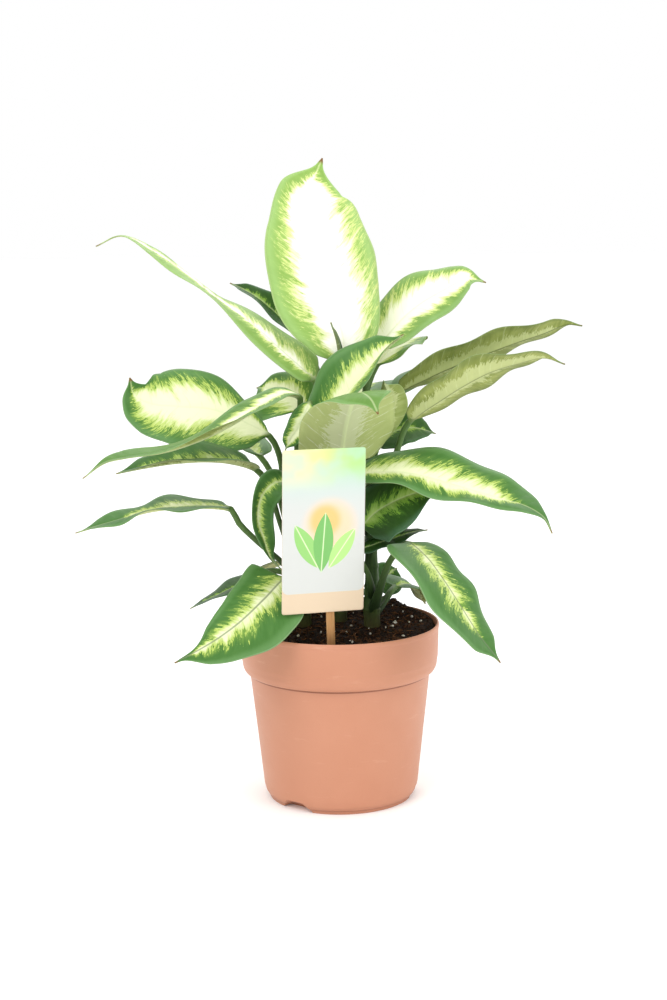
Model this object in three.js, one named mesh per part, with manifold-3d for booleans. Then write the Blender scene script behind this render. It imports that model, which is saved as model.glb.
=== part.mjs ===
// A potted dieffenbachia: a round nursery pot, the potting mix that fills it, four short canes standing
// in the mix, the variegated leaves that each cane carries on sheathed stalks, and a plant tag on a stake.
// Millimetres, +Z up. The origin is the centre of the pot's foot, on the surface that the pot stands on.
import * as THREE from "three";
import { mergeVertices } from "three/addons/utils/BufferGeometryUtils.js";
import Module from "manifold-3d";

const wasm = await Module();
wasm.setup();

// Driving dimensions
const GAP = 0.3; // clearance between touching pieces
const POT = {
  height: 108,
  rimRadius: 61,
  bandFoot: 84.5, // height where the rim band starts to turn in
  bandTurn: 78.5, // height where it meets the wall
  bandInset: 1.2, // how much smaller the band's radius is at its foot
  bandSlack: 0.4, // how much thinner the band's wall is there
  wallTopRadius: 55.2,
  wallFootRadius: 47.5,
  cornerHeight: 8, // height where the wall starts to round in to the foot
  footRadius: 44.4,
  footHeight: 2.2,
  wall: 1.3,
  floor: 1.6,
  floorRadius: 36, // the flat of the inside, with a thick corner from there up to cornerTop
  cornerTop: 10,
  sides: 36,
};
// The arched gaps in the foot's edge: the first one's place in degrees, the rest in mm.
const FOOT_GAPS = { count: 3, first: -126, width: 19, topWidth: 9, depth: 1.4, height: 6 };
const DRAIN = { count: 6, first: 24, ringRadius: 26, radius: 3.2 };
const SOIL = { level: 101.5, crown: 5, backRise: 3, lump: 1.1, smallLump: 0.77, rings: 5 };
const CANE = {
  radius: 5.2, topRadius: 3.6, roundTop: 1.5, depth: 42, sides: 8, // depth is how far it reaches into the mix
  pitch: 14, ringHeight: 0.45, ringHalf: 1.2, // the rings of old leaf scars
};
const STALK = { footRadius: 2.9, radius: 1.9 };
const BLADE = { thickness: 0.9, ribDepth: 1.5, ribTaper: 0.6, tipHalfWidth: 0.7, fadeIn: 0.06 };
const TIP = { narrowing: 0.72, from: 0.85, to: 0.97 }; // how the outline draws in towards the tip
const CARD = { width: 49, height: 97, thickness: 0.9, corner: 1.5, foot: 24, shift: -6 };
const STAKE = { width: 4.8, thickness: 1.8, length: 156, depth: 38, lean: -2.6, point: 8, pointShare: 0.3 };
const TAG = { x: -5, y: -46, turn: 15, forward: 5 }; // where the stake enters the mix, and how it leans

// The four canes, by where they stand in the pot and how tall they are.
const CANES = {
  middle: { x: 0, y: 8, top: 207 },
  right: { x: 20, y: -2, top: 168 },
  left: { x: -22, y: 4, top: 168 },
  back: { x: 2, y: 32, top: 174 },
};

// One entry a leaf. height is where its stalk leaves the cane; stalk and rib are points on the middle of
// the stalk and of the blade; width is the blade's; roll turns the blade about its rib, in degrees at its
// foot, middle and tip, positive lifting its left side; heading, where given, is which way the blade runs
// in plan, otherwise from its foot to its tip; fold is how steeply each half rises, in degrees at
// the rib and at the margin; wave is the margin's waviness: height in mm, waves along the blade, phase.
// Where the two sides differ, halves are the left and right sides' shares of half the width, and bias says
// how far each side's widest place is moved.
const LEAVES = {
  leaf_crown_upright: {
    cane: "middle", height: 204, width: 67, roll: [0, 0, -6], fold: [12, -4], wave: [2.4, 1.6, 0.6],
    bias: [1, 1.2],
    heading: [-0.1, 1], stalk: [[0, 13, 234]],
    rib: [[4, 15, 262], [4, 16, 281], [-3, 20, 303], [-10, 25, 327], [-14, 31, 349], [-15, 34, 368],
      [-7, 32, 388]],
  },
  leaf_spear: {
    cane: "middle", height: 198, width: 5, roll: [0, 0, 0], fold: [70, 80], wave: [0, 1, 0],
    stalk: [[6, 2, 211], [5, 2, 232]], rib: [[3, 5, 248], [3, 8, 264], [1, 9, 278], [-3, 9, 290]],
  },
  leaf_left_high: {
    cane: "middle", height: 188, width: 44, roll: [-48, -8, -6], fold: [2, -10], wave: [1.8, 2.5, 0],
    halves: [0.7, 0.9], bias: [1, 0.6],
    stalk: [[-9, 9, 205], [-10, 14, 234]],
    rib: [[-12, 17, 252], [-22, 16, 263], [-34, 15, 274], [-50, 14, 289], [-70, 14, 304], [-90, 16, 320],
      [-110, 16, 334], [-128, 14, 343], [-143, 10, 337]],
  },
  leaf_right_cream: {
    cane: "middle", height: 184, width: 46, roll: [30, 38, 34], fold: [14, 2], wave: [1.5, 2, 1],
    stalk: [[13, 12, 216], [19, 21, 256]],
    rib: [[24, 27, 270], [34, 32, 283], [49, 36, 297], [66, 38, 307], [82, 39, 314], [93, 38, 312]],
  },
  leaf_over_left: {
    cane: "left", height: 163, width: 29, roll: [-14, 4, -4], fold: [16, 4], wave: [1.6, 2, 2],
    stalk: [[-24, 4, 202], [-24, 3, 230]],
    rib: [[-22, 1, 245], [-31, -8, 249], [-46, -22, 243], [-62, -33, 234], [-80, -40, 226],
      [-100, -46, 220], [-122, -50, 217], [-134, -50, 214], [-147, -48, 205]],
  },
  leaf_front_curled: {
    cane: "middle", height: 168, width: 60, roll: [0, 0, 10], fold: [4, -14], wave: [1, 2, 0],
    bias: [0.8, 0.8],
    stalk: [[1, -9, 176], [-1, -14, 190]],
    rib: [[1, -19, 206], [3, -27, 223], [7, -39, 242], [11, -48, 251], [14, -55, 253], [19, -63, 250],
      [23, -68, 242]],
  },
  leaf_behind_left: {
    cane: "middle", height: 169, width: 42, roll: [-34, -38, -30], fold: [10, 2], wave: [1.5, 2, 1],
    halves: [1.3, 1],
    stalk: [[-11, 16, 194], [-17, 23, 221]],
    rib: [[-21, 28, 235], [-30, 35, 243], [-40, 41, 247], [-50, 46, 248]],
  },
  leaf_right_broad: {
    cane: "middle", height: 152, width: 41, roll: [22, 28, 6], fold: [14, -2], wave: [1.8, 3, 0.5],
    halves: [1.2, 0.85],
    stalk: [[7, -5, 176]],
    rib: [[7, -14, 198], [19, -24, 203], [40, -33, 204], [60, -41, 200], [78, -48, 195], [94, -55, 191],
      [108, -60, 187], [117, -62, 181], [122, -62, 172]],
  },
  leaf_right_high: {
    cane: "middle", height: 156, width: 31, roll: [-34, -34, -30], fold: [18, 6], wave: [1.5, 3, 1],
    stalk: [[13, 7, 186], [24, 8, 228]],
    rib: [[36, 6, 247], [54, 3, 257], [72, 0, 265], [90, -3, 272], [107, -5, 278], [123, -6, 283],
      [137, -6, 288], [146, -6, 287]],
  },
  leaf_back_tall: {
    cane: "middle", height: 180, width: 52, roll: [0, 0, 0], fold: [14, 0], wave: [2, 2, 0],
    stalk: [[-3, 22, 214], [0, 34, 254]], rib: [[2, 46, 274], [2, 68, 300], [0, 90, 310], [-3, 112, 302]],
  },
  leaf_back_right_high: {
    cane: "middle", height: 167, width: 40, roll: [0, 0, 0], fold: [14, 0], wave: [2, 2, 2],
    stalk: [[10, 22, 203], [18, 38, 243]],
    rib: [[25, 50, 260], [35, 62, 270], [46, 74, 275], [56, 84, 272]],
  },
  leaf_right_rolled: {
    cane: "right", height: 162, width: 27, roll: [-60, -50, -40], fold: [48, 40], wave: [0.8, 2, 0],
    bias: [1.5, 1.5],
    stalk: [[20, -3, 192]],
    rib: [[21, -4, 214], [24, -10, 228], [28, -17, 240], [30, -24, 250], [28, -30, 256]],
  },
  leaf_right_low: {
    cane: "right", height: 150, width: 33, roll: [-30, -34, -10], fold: [16, 0], wave: [1.6, 3, 2],
    stalk: [[30, 4, 184], [36, 3, 212]],
    rib: [[43, -1, 230], [63, -10, 246], [88, -19, 261], [106, -25, 267], [121, -28, 270],
      [133, -28, 266]],
  },
  leaf_right_shaded: {
    cane: "middle", height: 136, width: 50, roll: [60, 52, 38], fold: [10, -4], wave: [1.2, 2, 0],
    halves: [0.8, 1],
    stalk: [[7, -7, 150]],
    rib: [[14, -14, 168], [21, -17, 177], [31, -21, 184], [41, -25, 189], [51, -28, 192],
      [60, -30, 191]],
  },
  leaf_right_under: {
    cane: "right", height: 124, width: 17, roll: [26, 26, 12], fold: [6, -4], wave: [1, 2, 1],
    stalk: [[18, -13, 138]],
    rib: [[12, -11, 153], [21, -14, 158], [32, -17, 162], [43, -19, 166], [53, -21, 168]],
  },
  leaf_front_right: {
    cane: "right", height: 113, width: 48, roll: [0, -8, -10], fold: [12, -4], wave: [1.6, 2.5, 0],
    halves: [0.85, 1.3],
    stalk: [[25, -12, 132], [31, -21, 150]],
    rib: [[40, -29, 161], [50, -45, 157], [60, -58, 145], [70, -68, 130], [79, -74, 116],
      [91, -79, 101]],
  },
  leaf_low_right: {
    cane: "right", height: 112, width: 30, roll: [10, 10, 0], fold: [10, 0], wave: [0.8, 2, 0],
    stalk: [[27, 6, 118], [32, 14, 123]],
    rib: [[35, 23, 124], [41, 30, 125], [48, 35, 121], [55, 38, 110]],
  },
  leaf_left_broad: {
    cane: "left", height: 151, width: 58, roll: [-44, -58, -50], fold: [8, -4], wave: [1.8, 2, 0],
    halves: [1.06, 0.88], bias: [1, 1.8],
    stalk: [[-32, 9, 180], [-35, 11, 208]],
    rib: [[-41, 11, 221], [-56, 12, 230], [-76, 12, 238], [-96, 12, 240], [-113, 12, 242],
      [-123, 11, 248], [-125, 10, 258]],
  },
  leaf_arching_right: {
    cane: "middle", height: 157, width: 54, roll: [20, 38, 24], fold: [34, 26], wave: [1.5, 2, 1],
    halves: [0.85, 1],
    stalk: [[-12, 3, 184], [-13, -1, 205]],
    rib: [[-12, -4, 219], [-6, -5, 231], [4, -7, 246], [16, -8, 260], [28, -8, 273], [40, -6, 283]],
  },
  leaf_left_drooping: {
    cane: "left", height: 148, width: 22, roll: [-30, -50, -60], fold: [30, 20], wave: [1, 2, 0],
    halves: [1, 0.8], bias: [0.6, 0.5],
    stalk: [[-25, -9, 174]],
    rib: [[-27, -15, 194], [-34, -23, 198], [-41, -31, 196], [-46, -37, 188], [-47, -39, 178],
      [-44, -38, 167], [-40, -37, 155], [-33, -36, 147]],
  },
  leaf_left_dark: {
    cane: "left", height: 133, width: 38, roll: [-6, -10, -6], fold: [26, 10], wave: [1.4, 2, 0],
    stalk: [[-34, 1, 166], [-42, -3, 193]],
    rib: [[-49, -10, 204], [-62, -20, 210], [-78, -25, 212], [-96, -26, 211], [-113, -25, 208],
      [-131, -22, 204]],
  },
  leaf_left_low: {
    cane: "left", height: 118, width: 32, roll: [-6, -6, -10], fold: [14, 0], wave: [2, 2.5, 0],
    stalk: [[-33, -2, 144], [-48, -8, 159], [-60, -11, 172]],
    rib: [[-64, -12, 180], [-80, -15, 183], [-97, -17, 183], [-114, -19, 181], [-130, -19, 176],
      [-144, -19, 172], [-157, -18, 168]],
  },
  leaf_front_left: {
    cane: "left", height: 112, width: 54, roll: [-36, -34, -10], fold: [6, -4], wave: [1, 2, 0],
    halves: [1, 0.78], bias: [0.85, 0.4],
    stalk: [[-23, -11, 128], [-26, -21, 139]],
    rib: [[-32, -30, 141], [-44, -45, 132], [-57, -58, 122], [-70, -67, 114], [-82, -73, 108],
      [-94, -78, 103]],
  },
  leaf_left_inner: {
    cane: "left", height: 124, width: 15, roll: [-40, -60, -60], fold: [10, 0], wave: [0.8, 2, 0],
    stalk: [[-16, -8, 150], [-19, -12, 200]],
    rib: [[-16, -8, 243], [-19, -12, 237], [-23, -16, 229], [-28, -18, 222], [-31, -18, 216]],
  },
  leaf_back_left_mid: {
    cane: "left", height: 130, width: 46, roll: [0, 0, 0], fold: [14, 0], wave: [1.8, 2, 0],
    stalk: [[-32, 20, 167], [-40, 34, 192]],
    rib: [[-48, 44, 204], [-66, 60, 216], [-86, 72, 220], [-106, 80, 212]],
  },
  leaf_back_narrow: {
    cane: "back", height: 166, width: 20, roll: [-30, -30, -20], fold: [26, 16], wave: [1, 2, 0],
    stalk: [[-4, 40, 214], [-10, 48, 252]],
    rib: [[-20, 48, 276], [-34, 50, 291], [-49, 52, 304], [-66, 58, 313]],
  },
  leaf_back_middle: {
    cane: "back", height: 158, width: 54, roll: [0, 0, 0], fold: [14, 0], wave: [2, 2, 1],
    stalk: [[5, 48, 192], [7, 60, 222]],
    rib: [[8, 68, 233], [12, 92, 242], [16, 118, 241], [19, 142, 228]],
  },
  leaf_right_dark: {
    cane: "back", height: 152, width: 36, roll: [30, 34, 20], fold: [12, 4], wave: [1, 2, 0],
    stalk: [[12, 25, 178], [19, 22, 200]],
    rib: [[23, 21, 213], [33, 22, 221], [46, 24, 224], [61, 26, 220]],
  },
  leaf_back_right_mid: {
    cane: "back", height: 138, width: 48, roll: [0, 0, 0], fold: [14, 0], wave: [1.8, 2, 0],
    stalk: [[17, 38, 182], [29, 47, 222]],
    rib: [[38, 54, 240], [60, 66, 254], [84, 76, 259], [106, 84, 253]],
  },
  leaf_back_right_low: {
    cane: "back", height: 128, width: 44, roll: [0, 0, 0], fold: [12, 0], wave: [1.6, 2, 2],
    stalk: [[18, 42, 152], [32, 51, 169]],
    rib: [[43, 56, 177], [65, 66, 185], [87, 74, 182], [106, 80, 170]],
  },
  leaf_back_drooping: {
    cane: "back", height: 120, width: 40, roll: [0, 0, 0], fold: [12, -4], wave: [1.4, 2, 0],
    stalk: [[-2, 46, 144], [-6, 57, 156]],
    rib: [[-9, 66, 157], [-13, 84, 146], [-16, 98, 126], [-18, 106, 104]],
  },
  leaf_back_left_low: {
    cane: "back", height: 114, width: 40, roll: [0, 0, 0], fold: [12, -4], wave: [1.4, 2, 1],
    stalk: [[-12, 44, 132], [-24, 54, 138]],
    rib: [[-31, 60, 136], [-48, 73, 126], [-61, 82, 113], [-71, 88, 99]],
  },
  leaf_low_left: {
    cane: "back", height: 110, width: 28, roll: [-10, -10, 0], fold: [12, 0], wave: [0.8, 2, 0],
    stalk: [[-18, 32, 124], [-38, 34, 133]],
    rib: [[-48, 36, 132], [-63, 38, 124], [-79, 40, 116], [-95, 42, 108]],
  },
  leaf_low_back: {
    cane: "back", height: 115, width: 24, roll: [44, 48, 40], fold: [10, 0], wave: [0.6, 2, 0],
    stalk: [[11, 40, 116], [18, 46, 117]],
    rib: [[24, 51, 118], [29, 56, 121], [34, 61, 126], [38, 65, 128]],
  },
};

const radians = THREE.MathUtils.degToRad;
const { smoothstep, lerp } = THREE.MathUtils;

const COLOURS = {
  pot: "#c98263", soil: "#3a241a", cane: "#4f7a3c", leaf: "#6f9f52", youngLeaf: "#cfe08a", card: "#f4f1e8",
  stake: "#c9975f",
};
function material(colour, roughness = 0.6) {
  return new THREE.MeshStandardMaterial({ color: colour, roughness, metalness: 0 });
}

// A closed geometry as a solid, with its shared corners merged.
function solidOf(geometry) {
  const bare = geometry.clone();
  bare.deleteAttribute("normal");
  bare.deleteAttribute("uv");
  const merged = mergeVertices(bare, 1e-4);
  return new wasm.Manifold(new wasm.Mesh({
    numProp: 3,
    vertProperties: new Float32Array(merged.attributes.position.array),
    triVerts: new Uint32Array(merged.index.array),
  }));
}

function geometryOf(solid) {
  const mesh = solid.getMesh();
  const stride = mesh.numProp;
  const position = new Float32Array(mesh.numVert * 3);
  for (let i = 0; i < mesh.numVert; i++) {
    position.set(mesh.vertProperties.subarray(i * stride, i * stride + 3), i * 3);
  }
  const geometry = new THREE.BufferGeometry();
  geometry.setAttribute("position", new THREE.BufferAttribute(position, 3));
  geometry.setIndex(new THREE.BufferAttribute(new Uint32Array(mesh.triVerts), 1));
  return geometry;
}

// A profile of [radius, height] points turned about the Z axis.
function turned(profile, sides) {
  const points = profile.map(([r, z]) => new THREE.Vector2(r, z));
  return new THREE.LatheGeometry(points, sides).rotateX(Math.PI / 2);
}

// The pot's inner radius at a height, which the potting mix follows too.
function potInside(z) {
  const share = (z - POT.cornerHeight) / (POT.bandTurn - POT.cornerHeight);
  const wall = lerp(POT.wallFootRadius, POT.wallTopRadius, Math.min(1, share)) - POT.wall;
  const band = POT.rimRadius - POT.bandInset - POT.wall + POT.bandSlack;
  return lerp(wall, band, smoothstep(z, POT.bandTurn - 1, POT.bandFoot));
}

// One gap in the foot's edge: an arch that runs outwards from the foot's radius less its depth.
function footGapGeometry() {
  const { width, topWidth, depth, height } = FOOT_GAPS;
  const arch = new THREE.Shape();
  arch.moveTo(-width / 2, -1);
  arch.lineTo(width / 2, -1);
  arch.quadraticCurveTo(topWidth / 2 + 1, height, topWidth / 2 - 1, height);
  arch.lineTo(-topWidth / 2 + 1, height);
  arch.quadraticCurveTo(-topWidth / 2 - 1, height, -width / 2, -1);
  const reach = 10;
  const gap = new THREE.ExtrudeGeometry(arch, { depth: reach, bevelEnabled: false, curveSegments: 4 });
  return gap.rotateX(Math.PI / 2).rotateZ(Math.PI / 2).translate(POT.footRadius - depth, 0, 0);
}

// The pot: a thin tapered wall with a deeper rim band, rounding in to a flat foot. The edge of the foot has
// three arched gaps, and the floor has a ring of drain holes.
function potGeometry() {
  const { height, rimRadius, wall, floor, footHeight, footRadius, wallFootRadius, cornerHeight } = POT;
  const outside = [
    [0, 0], [footRadius, 0], [footRadius + 0.1, footHeight - 0.2], [footRadius + 0.9, footHeight],
    [wallFootRadius - 0.9, footHeight * 2], [wallFootRadius, cornerHeight],
    [POT.wallTopRadius, POT.bandTurn],
    [rimRadius - POT.bandInset, POT.bandFoot - 0.6], [rimRadius - POT.bandInset / 2, POT.bandFoot + 1.6],
    [rimRadius, height - 1], [rimRadius - 0.5, height],
  ];
  const inside = [
    [rimRadius - wall, height - 0.3], [potInside(POT.bandFoot), POT.bandFoot],
    [potInside(POT.bandTurn - 1), POT.bandTurn - 1], [potInside(POT.cornerTop), POT.cornerTop],
    [POT.floorRadius, floor], [0, floor],
  ];
  let solid = solidOf(turned([...outside, ...inside], POT.sides));
  for (let i = 0; i < FOOT_GAPS.count; i++) {
    const angle = FOOT_GAPS.first + (360 / FOOT_GAPS.count) * i;
    solid = solid.subtract(solidOf(footGapGeometry().rotateZ(radians(angle))));
  }
  for (let i = 0; i < DRAIN.count; i++) {
    const hole = new THREE.CylinderGeometry(DRAIN.radius, DRAIN.radius, 20, 10).rotateX(Math.PI / 2);
    hole.translate(DRAIN.ringRadius, 0, 0).rotateZ(radians((360 / DRAIN.count) * i + DRAIN.first));
    solid = solid.subtract(solidOf(hole));
  }
  return geometryOf(solid);
}

// The height of the mix's top at a radius and an angle: a low mound, highest at the back, with lumps.
function soilTop(r, angle) {
  const out = r / potInside(SOIL.level);
  const back = -SOIL.backRise * out * Math.cos(angle);
  const lumps = SOIL.lump * Math.sin(3 * angle + 7 * out) + SOIL.smallLump * Math.sin(7 * angle - 11 * out);
  return SOIL.level + SOIL.crown * (1 - out * out) + back + lumps * Math.min(1, 2 * out);
}

// The potting mix: rings of corners from the crown out to the wall, down the wall and in under it.
function soilGeometry() {
  const rings = [];
  for (let i = 1; i <= SOIL.rings; i++) {
    const r = (i / SOIL.rings) * (potInside(SOIL.level) - GAP);
    rings.push((angle) => [r, soilTop(r, angle)]);
  }
  const floorTop = POT.floor + GAP;
  for (const z of [POT.bandFoot, POT.bandTurn - 1, POT.cornerTop + GAP]) {
    rings.push(() => [potInside(z) - GAP, z]);
  }
  rings.push(() => [POT.floorRadius - GAP, floorTop]);
  const corners = [0, 0, soilTop(0, 0)];
  for (const ring of rings) {
    for (let k = 0; k < POT.sides; k++) {
      const angle = (2 * Math.PI * k) / POT.sides;
      const [r, z] = ring(angle);
      corners.push(r * Math.sin(angle), -r * Math.cos(angle), z);
    }
  }
  corners.push(0, 0, floorTop);
  const at = (i, k) => 1 + i * POT.sides + (k % POT.sides);
  const last = rings.length - 1;
  const faces = [];
  for (let k = 0; k < POT.sides; k++) {
    faces.push(0, at(0, k), at(0, k + 1));
    for (let i = 0; i < last; i++) {
      faces.push(at(i, k), at(i + 1, k), at(i + 1, k + 1), at(i, k), at(i + 1, k + 1), at(i, k + 1));
    }
    faces.push(corners.length / 3 - 1, at(last, k + 1), at(last, k));
  }
  const geometry = new THREE.BufferGeometry();
  geometry.setAttribute("position", new THREE.Float32BufferAttribute(corners, 3));
  geometry.setIndex(faces);
  return geometry;
}

// A cane: a tapering rod with a low ring at each old leaf scar. grow widens it for cutting its clearance.
function caneGeometry({ x, y, top }, grow = 0) {
  const foot = SOIL.level - CANE.depth;
  const profile = [[0, foot - grow], [CANE.radius + grow, foot - grow]];
  const radiusAt = (z) => lerp(CANE.radius, CANE.topRadius, smoothstep(z, SOIL.level, top));
  for (let z = SOIL.level + CANE.pitch; z < top - CANE.pitch / 2; z += CANE.pitch) {
    const r = radiusAt(z) + grow;
    profile.push([r, z - CANE.ringHalf], [r + CANE.ringHeight, z], [r, z + CANE.ringHalf]);
  }
  const last = radiusAt(top);
  profile.push([last + grow, top - CANE.roundTop], [last / 2 + grow, top + grow], [0, top + grow]);
  return turned(profile, CANE.sides).translate(x, y, 0);
}

// Places and directions at shares of the length of a curve, between two of its parameters.
function stations(curve, from, to, shares) {
  const steps = 160;
  const points = [];
  const lengths = [0];
  for (let i = 0; i <= steps; i++) {
    points.push(curve.getPoint(lerp(from, to, i / steps)));
    if (i) lengths.push(lengths[i - 1] + points[i].distanceTo(points[i - 1]));
  }
  return shares.map((share) => {
    const goal = share * lengths[steps];
    let i = 1;
    while (i < steps && lengths[i] < goal) i++;
    const t = lerp(from, to, (i - 1 + (goal - lengths[i - 1]) / (lengths[i] - lengths[i - 1])) / steps);
    return { place: curve.getPoint(t), along: curve.getTangent(t), share };
  });
}

// Half the blade's width at a share of its length, as a share of its widest: a rounded foot, widest before
// the middle, and a narrow drawn-out tip. bias moves the widest place: towards the tip above 1.
function outline(t, bias) {
  const widest = 0.4423;
  const at = t ** bias;
  const oval = (Math.sqrt(at) * (1 - at) ** 0.7) / widest;
  return oval * (1 - TIP.narrowing * smoothstep(at, TIP.from, TIP.to));
}

// A value given at the foot, the middle and the tip, eased between them.
function eased([foot, middle, tip], t) {
  return t < 0.5 ? lerp(foot, middle, smoothstep(t, 0, 0.5)) : lerp(middle, tip, smoothstep(t, 0.5, 1));
}

// Across and up from the rib to a point of the blade's upper face, at v from -1 at its right margin to 1.
function acrossBlade(leaf, v, t) {
  const s = Math.abs(v);
  const { halves = [1, 1], bias = [1, 1] } = leaf;
  const side = v > 0 ? 0 : 1;
  const half = Math.max(BLADE.tipHalfWidth, (leaf.width / 2) * halves[side] * outline(t, bias[side]));
  const slope = radians(leaf.fold[0] + ((leaf.fold[1] - leaf.fold[0]) * s) / 2);
  const [height, count, phase] = leaf.wave;
  const otherSide = v > 0 ? 0 : 1.9; // the two margins aren't waved alike
  const swing = Math.sin(2 * Math.PI * count * t + phase + otherSide) * Math.sin(Math.PI * t);
  const wave = height * s * s * swing;
  return [Math.sign(v) * s * half * Math.cos(slope), s * half * Math.sin(slope) + wave];
}

// Where a ring's corners lie: across the blade, round the stalk in degrees, and along the blade.
const ACROSS = [-1, -0.5, 0, 0.5, 1];
const ROUND = [162, 126, 90, 54, 18];
const BLADE_SHARES = [0, 0.04, 0.12, 0.24, 0.38, 0.53, 0.68, 0.81, 0.92, 1];

// A leaf: one closed skin of rings, round along the stalk and flat across the blade, with the rib standing
// out underneath. Each ring has a row of five corners above and five below.
function leafGeometry(leaf) {
  const cane = CANES[leaf.cane];
  const foothold = [cane.x, cane.y, leaf.height];
  const points = [foothold, ...leaf.stalk, ...leaf.rib].map((p) => new THREE.Vector3(...p));
  const curve = new THREE.CatmullRomCurve3(points, false, "centripetal");
  const split = (1 + leaf.stalk.length) / (points.length - 1);
  const foot = leaf.rib[0];
  const tip = leaf.rib[leaf.rib.length - 1];
  const [headingX, headingY] = leaf.heading ?? [tip[0] - foot[0], tip[1] - foot[1]];
  const left = new THREE.Vector3(-headingY, headingX, 0).normalize();
  const stalkCount = 1 + leaf.stalk.length;
  const stalkShares = Array.from({ length: stalkCount }, (_, i) => i / stalkCount);
  const rings = [
    ...stations(curve, 0, split, stalkShares).map((s) => ({ ...s, t: 0, stalk: s.share })),
    ...stations(curve, split, 1, BLADE_SHARES).map((s) => ({ ...s, t: s.share, stalk: 1 })),
  ];
  const corners = [];
  for (const { place, along, t, stalk } of rings) {
    const side = left.clone().addScaledVector(along, -left.dot(along)).normalize();
    const up = new THREE.Vector3().crossVectors(along, side);
    const roll = radians(eased(leaf.roll, t)) * smoothstep(stalk, 0.3, 1);
    const acrossAxis = side.clone().multiplyScalar(Math.cos(roll)).addScaledVector(up, Math.sin(roll));
    const upAxis = up.clone().multiplyScalar(Math.cos(roll)).addScaledVector(side, -Math.sin(roll));
    const blade = smoothstep(t, 0, BLADE.fadeIn);
    const stalkRadius = lerp(STALK.footRadius, STALK.radius, smoothstep(stalk, 0, 0.5));
    const radius = Math.min(stalkRadius, leaf.width / 4);
    const taper = 1 - BLADE.ribTaper * smoothstep(t, 0.5, 1);
    const rib = lerp(radius, BLADE.ribDepth, smoothstep(t, 0, 0.4)) * taper;
    for (const under of [0, 1]) {
      ACROSS.forEach((v, k) => {
        const angle = radians(ROUND[k]) * (under ? -1 : 1);
        const [x, z] = acrossBlade(leaf, v, t);
        const depth = under * (BLADE.thickness + (v === 0 ? rib : 0));
        const aside = lerp(radius * Math.cos(angle), x, blade);
        const above = lerp(radius * Math.sin(angle), z + BLADE.thickness / 2 - depth, blade);
        corners.push(place.clone().addScaledVector(acrossAxis, aside).addScaledVector(upAxis, above));
      });
    }
  }
  const across = ACROSS.length;
  const at = (ring, under, k) => (ring * 2 + under) * across + k;
  const faces = [];
  const twoTriangles = (a, b, c, d) => faces.push(a, b, c, a, c, d);
  const last = rings.length - 1;
  const right = across - 1;
  for (let j = 0; j < last; j++) {
    for (let k = 0; k < right; k++) {
      twoTriangles(at(j, 0, k), at(j + 1, 0, k), at(j + 1, 0, k + 1), at(j, 0, k + 1));
      faces.push(at(j, 1, k), at(j + 1, 1, k + 1), at(j + 1, 1, k));
      faces.push(at(j, 1, k), at(j, 1, k + 1), at(j + 1, 1, k + 1));
    }
    twoTriangles(at(j, 0, right), at(j + 1, 0, right), at(j + 1, 1, right), at(j, 1, right));
    twoTriangles(at(j, 0, 0), at(j, 1, 0), at(j + 1, 1, 0), at(j + 1, 0, 0));
  }
  for (let k = 0; k < right; k++) {
    twoTriangles(at(0, 0, k), at(0, 0, k + 1), at(0, 1, k + 1), at(0, 1, k));
    faces.push(at(last, 0, k + 1), at(last, 0, k), at(last, 1, k + 1));
    faces.push(at(last, 1, k + 1), at(last, 0, k), at(last, 1, k));
  }
  const geometry = new THREE.BufferGeometry().setFromPoints(corners);
  geometry.setIndex(faces);
  return geometry;
}

function cardGeometry() {
  const { width, height, corner, thickness } = CARD;
  const shape = new THREE.Shape();
  shape.moveTo(-width / 2 + corner, 0);
  shape.lineTo(width / 2 - corner, 0);
  shape.quadraticCurveTo(width / 2, 0, width / 2, corner);
  shape.lineTo(width / 2, height - corner);
  shape.quadraticCurveTo(width / 2, height, width / 2 - corner, height);
  shape.lineTo(-width / 2 + corner, height);
  shape.quadraticCurveTo(-width / 2, height, -width / 2, height - corner);
  shape.lineTo(-width / 2, corner);
  shape.quadraticCurveTo(-width / 2, 0, -width / 2 + corner, 0);
  const flat = { depth: thickness, bevelEnabled: false, curveSegments: 3 };
  const card = new THREE.ExtrudeGeometry(shape, flat).rotateX(Math.PI / 2);
  return card.translate(CARD.shift, -STAKE.thickness / 2 - GAP, CARD.foot);
}

// The stake: a flat wooden strip with a blunt point, in the tag's own frame, with its foot in the mix.
function stakeGeometry(grow = 0) {
  const half = STAKE.width / 2 + grow;
  const shape = new THREE.Shape();
  shape.moveTo(-half, -STAKE.depth + STAKE.point);
  shape.lineTo(-half * STAKE.pointShare, -STAKE.depth - grow);
  shape.lineTo(half * STAKE.pointShare, -STAKE.depth - grow);
  shape.lineTo(half, -STAKE.depth + STAKE.point);
  shape.lineTo(half, STAKE.length - STAKE.depth);
  shape.lineTo(-half, STAKE.length - STAKE.depth);
  const depth = STAKE.thickness + 2 * grow;
  const strip = new THREE.ExtrudeGeometry(shape, { depth, bevelEnabled: false });
  return strip.rotateX(Math.PI / 2).translate(0, depth / 2, 0).rotateY(radians(STAKE.lean));
}

function piece(name, geometry, finish) {
  const mesh = new THREE.Mesh(geometry, finish);
  mesh.name = name;
  return mesh;
}

const plant = new THREE.Group();

// The tag stands in its own group, turned and leaning as one.
const tag = new THREE.Group();
tag.position.set(TAG.x, TAG.y, SOIL.level);
tag.rotation.set(radians(TAG.forward), 0, radians(TAG.turn), "ZXY");
tag.add(piece("tag_card", cardGeometry(), material(COLOURS.card, 0.5)));
tag.add(piece("tag_stake", stakeGeometry(), material(COLOURS.stake, 0.8)));
tag.updateMatrixWorld(true);
plant.add(tag);

plant.add(piece("pot", potGeometry(), material(COLOURS.pot, 0.5)));

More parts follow.
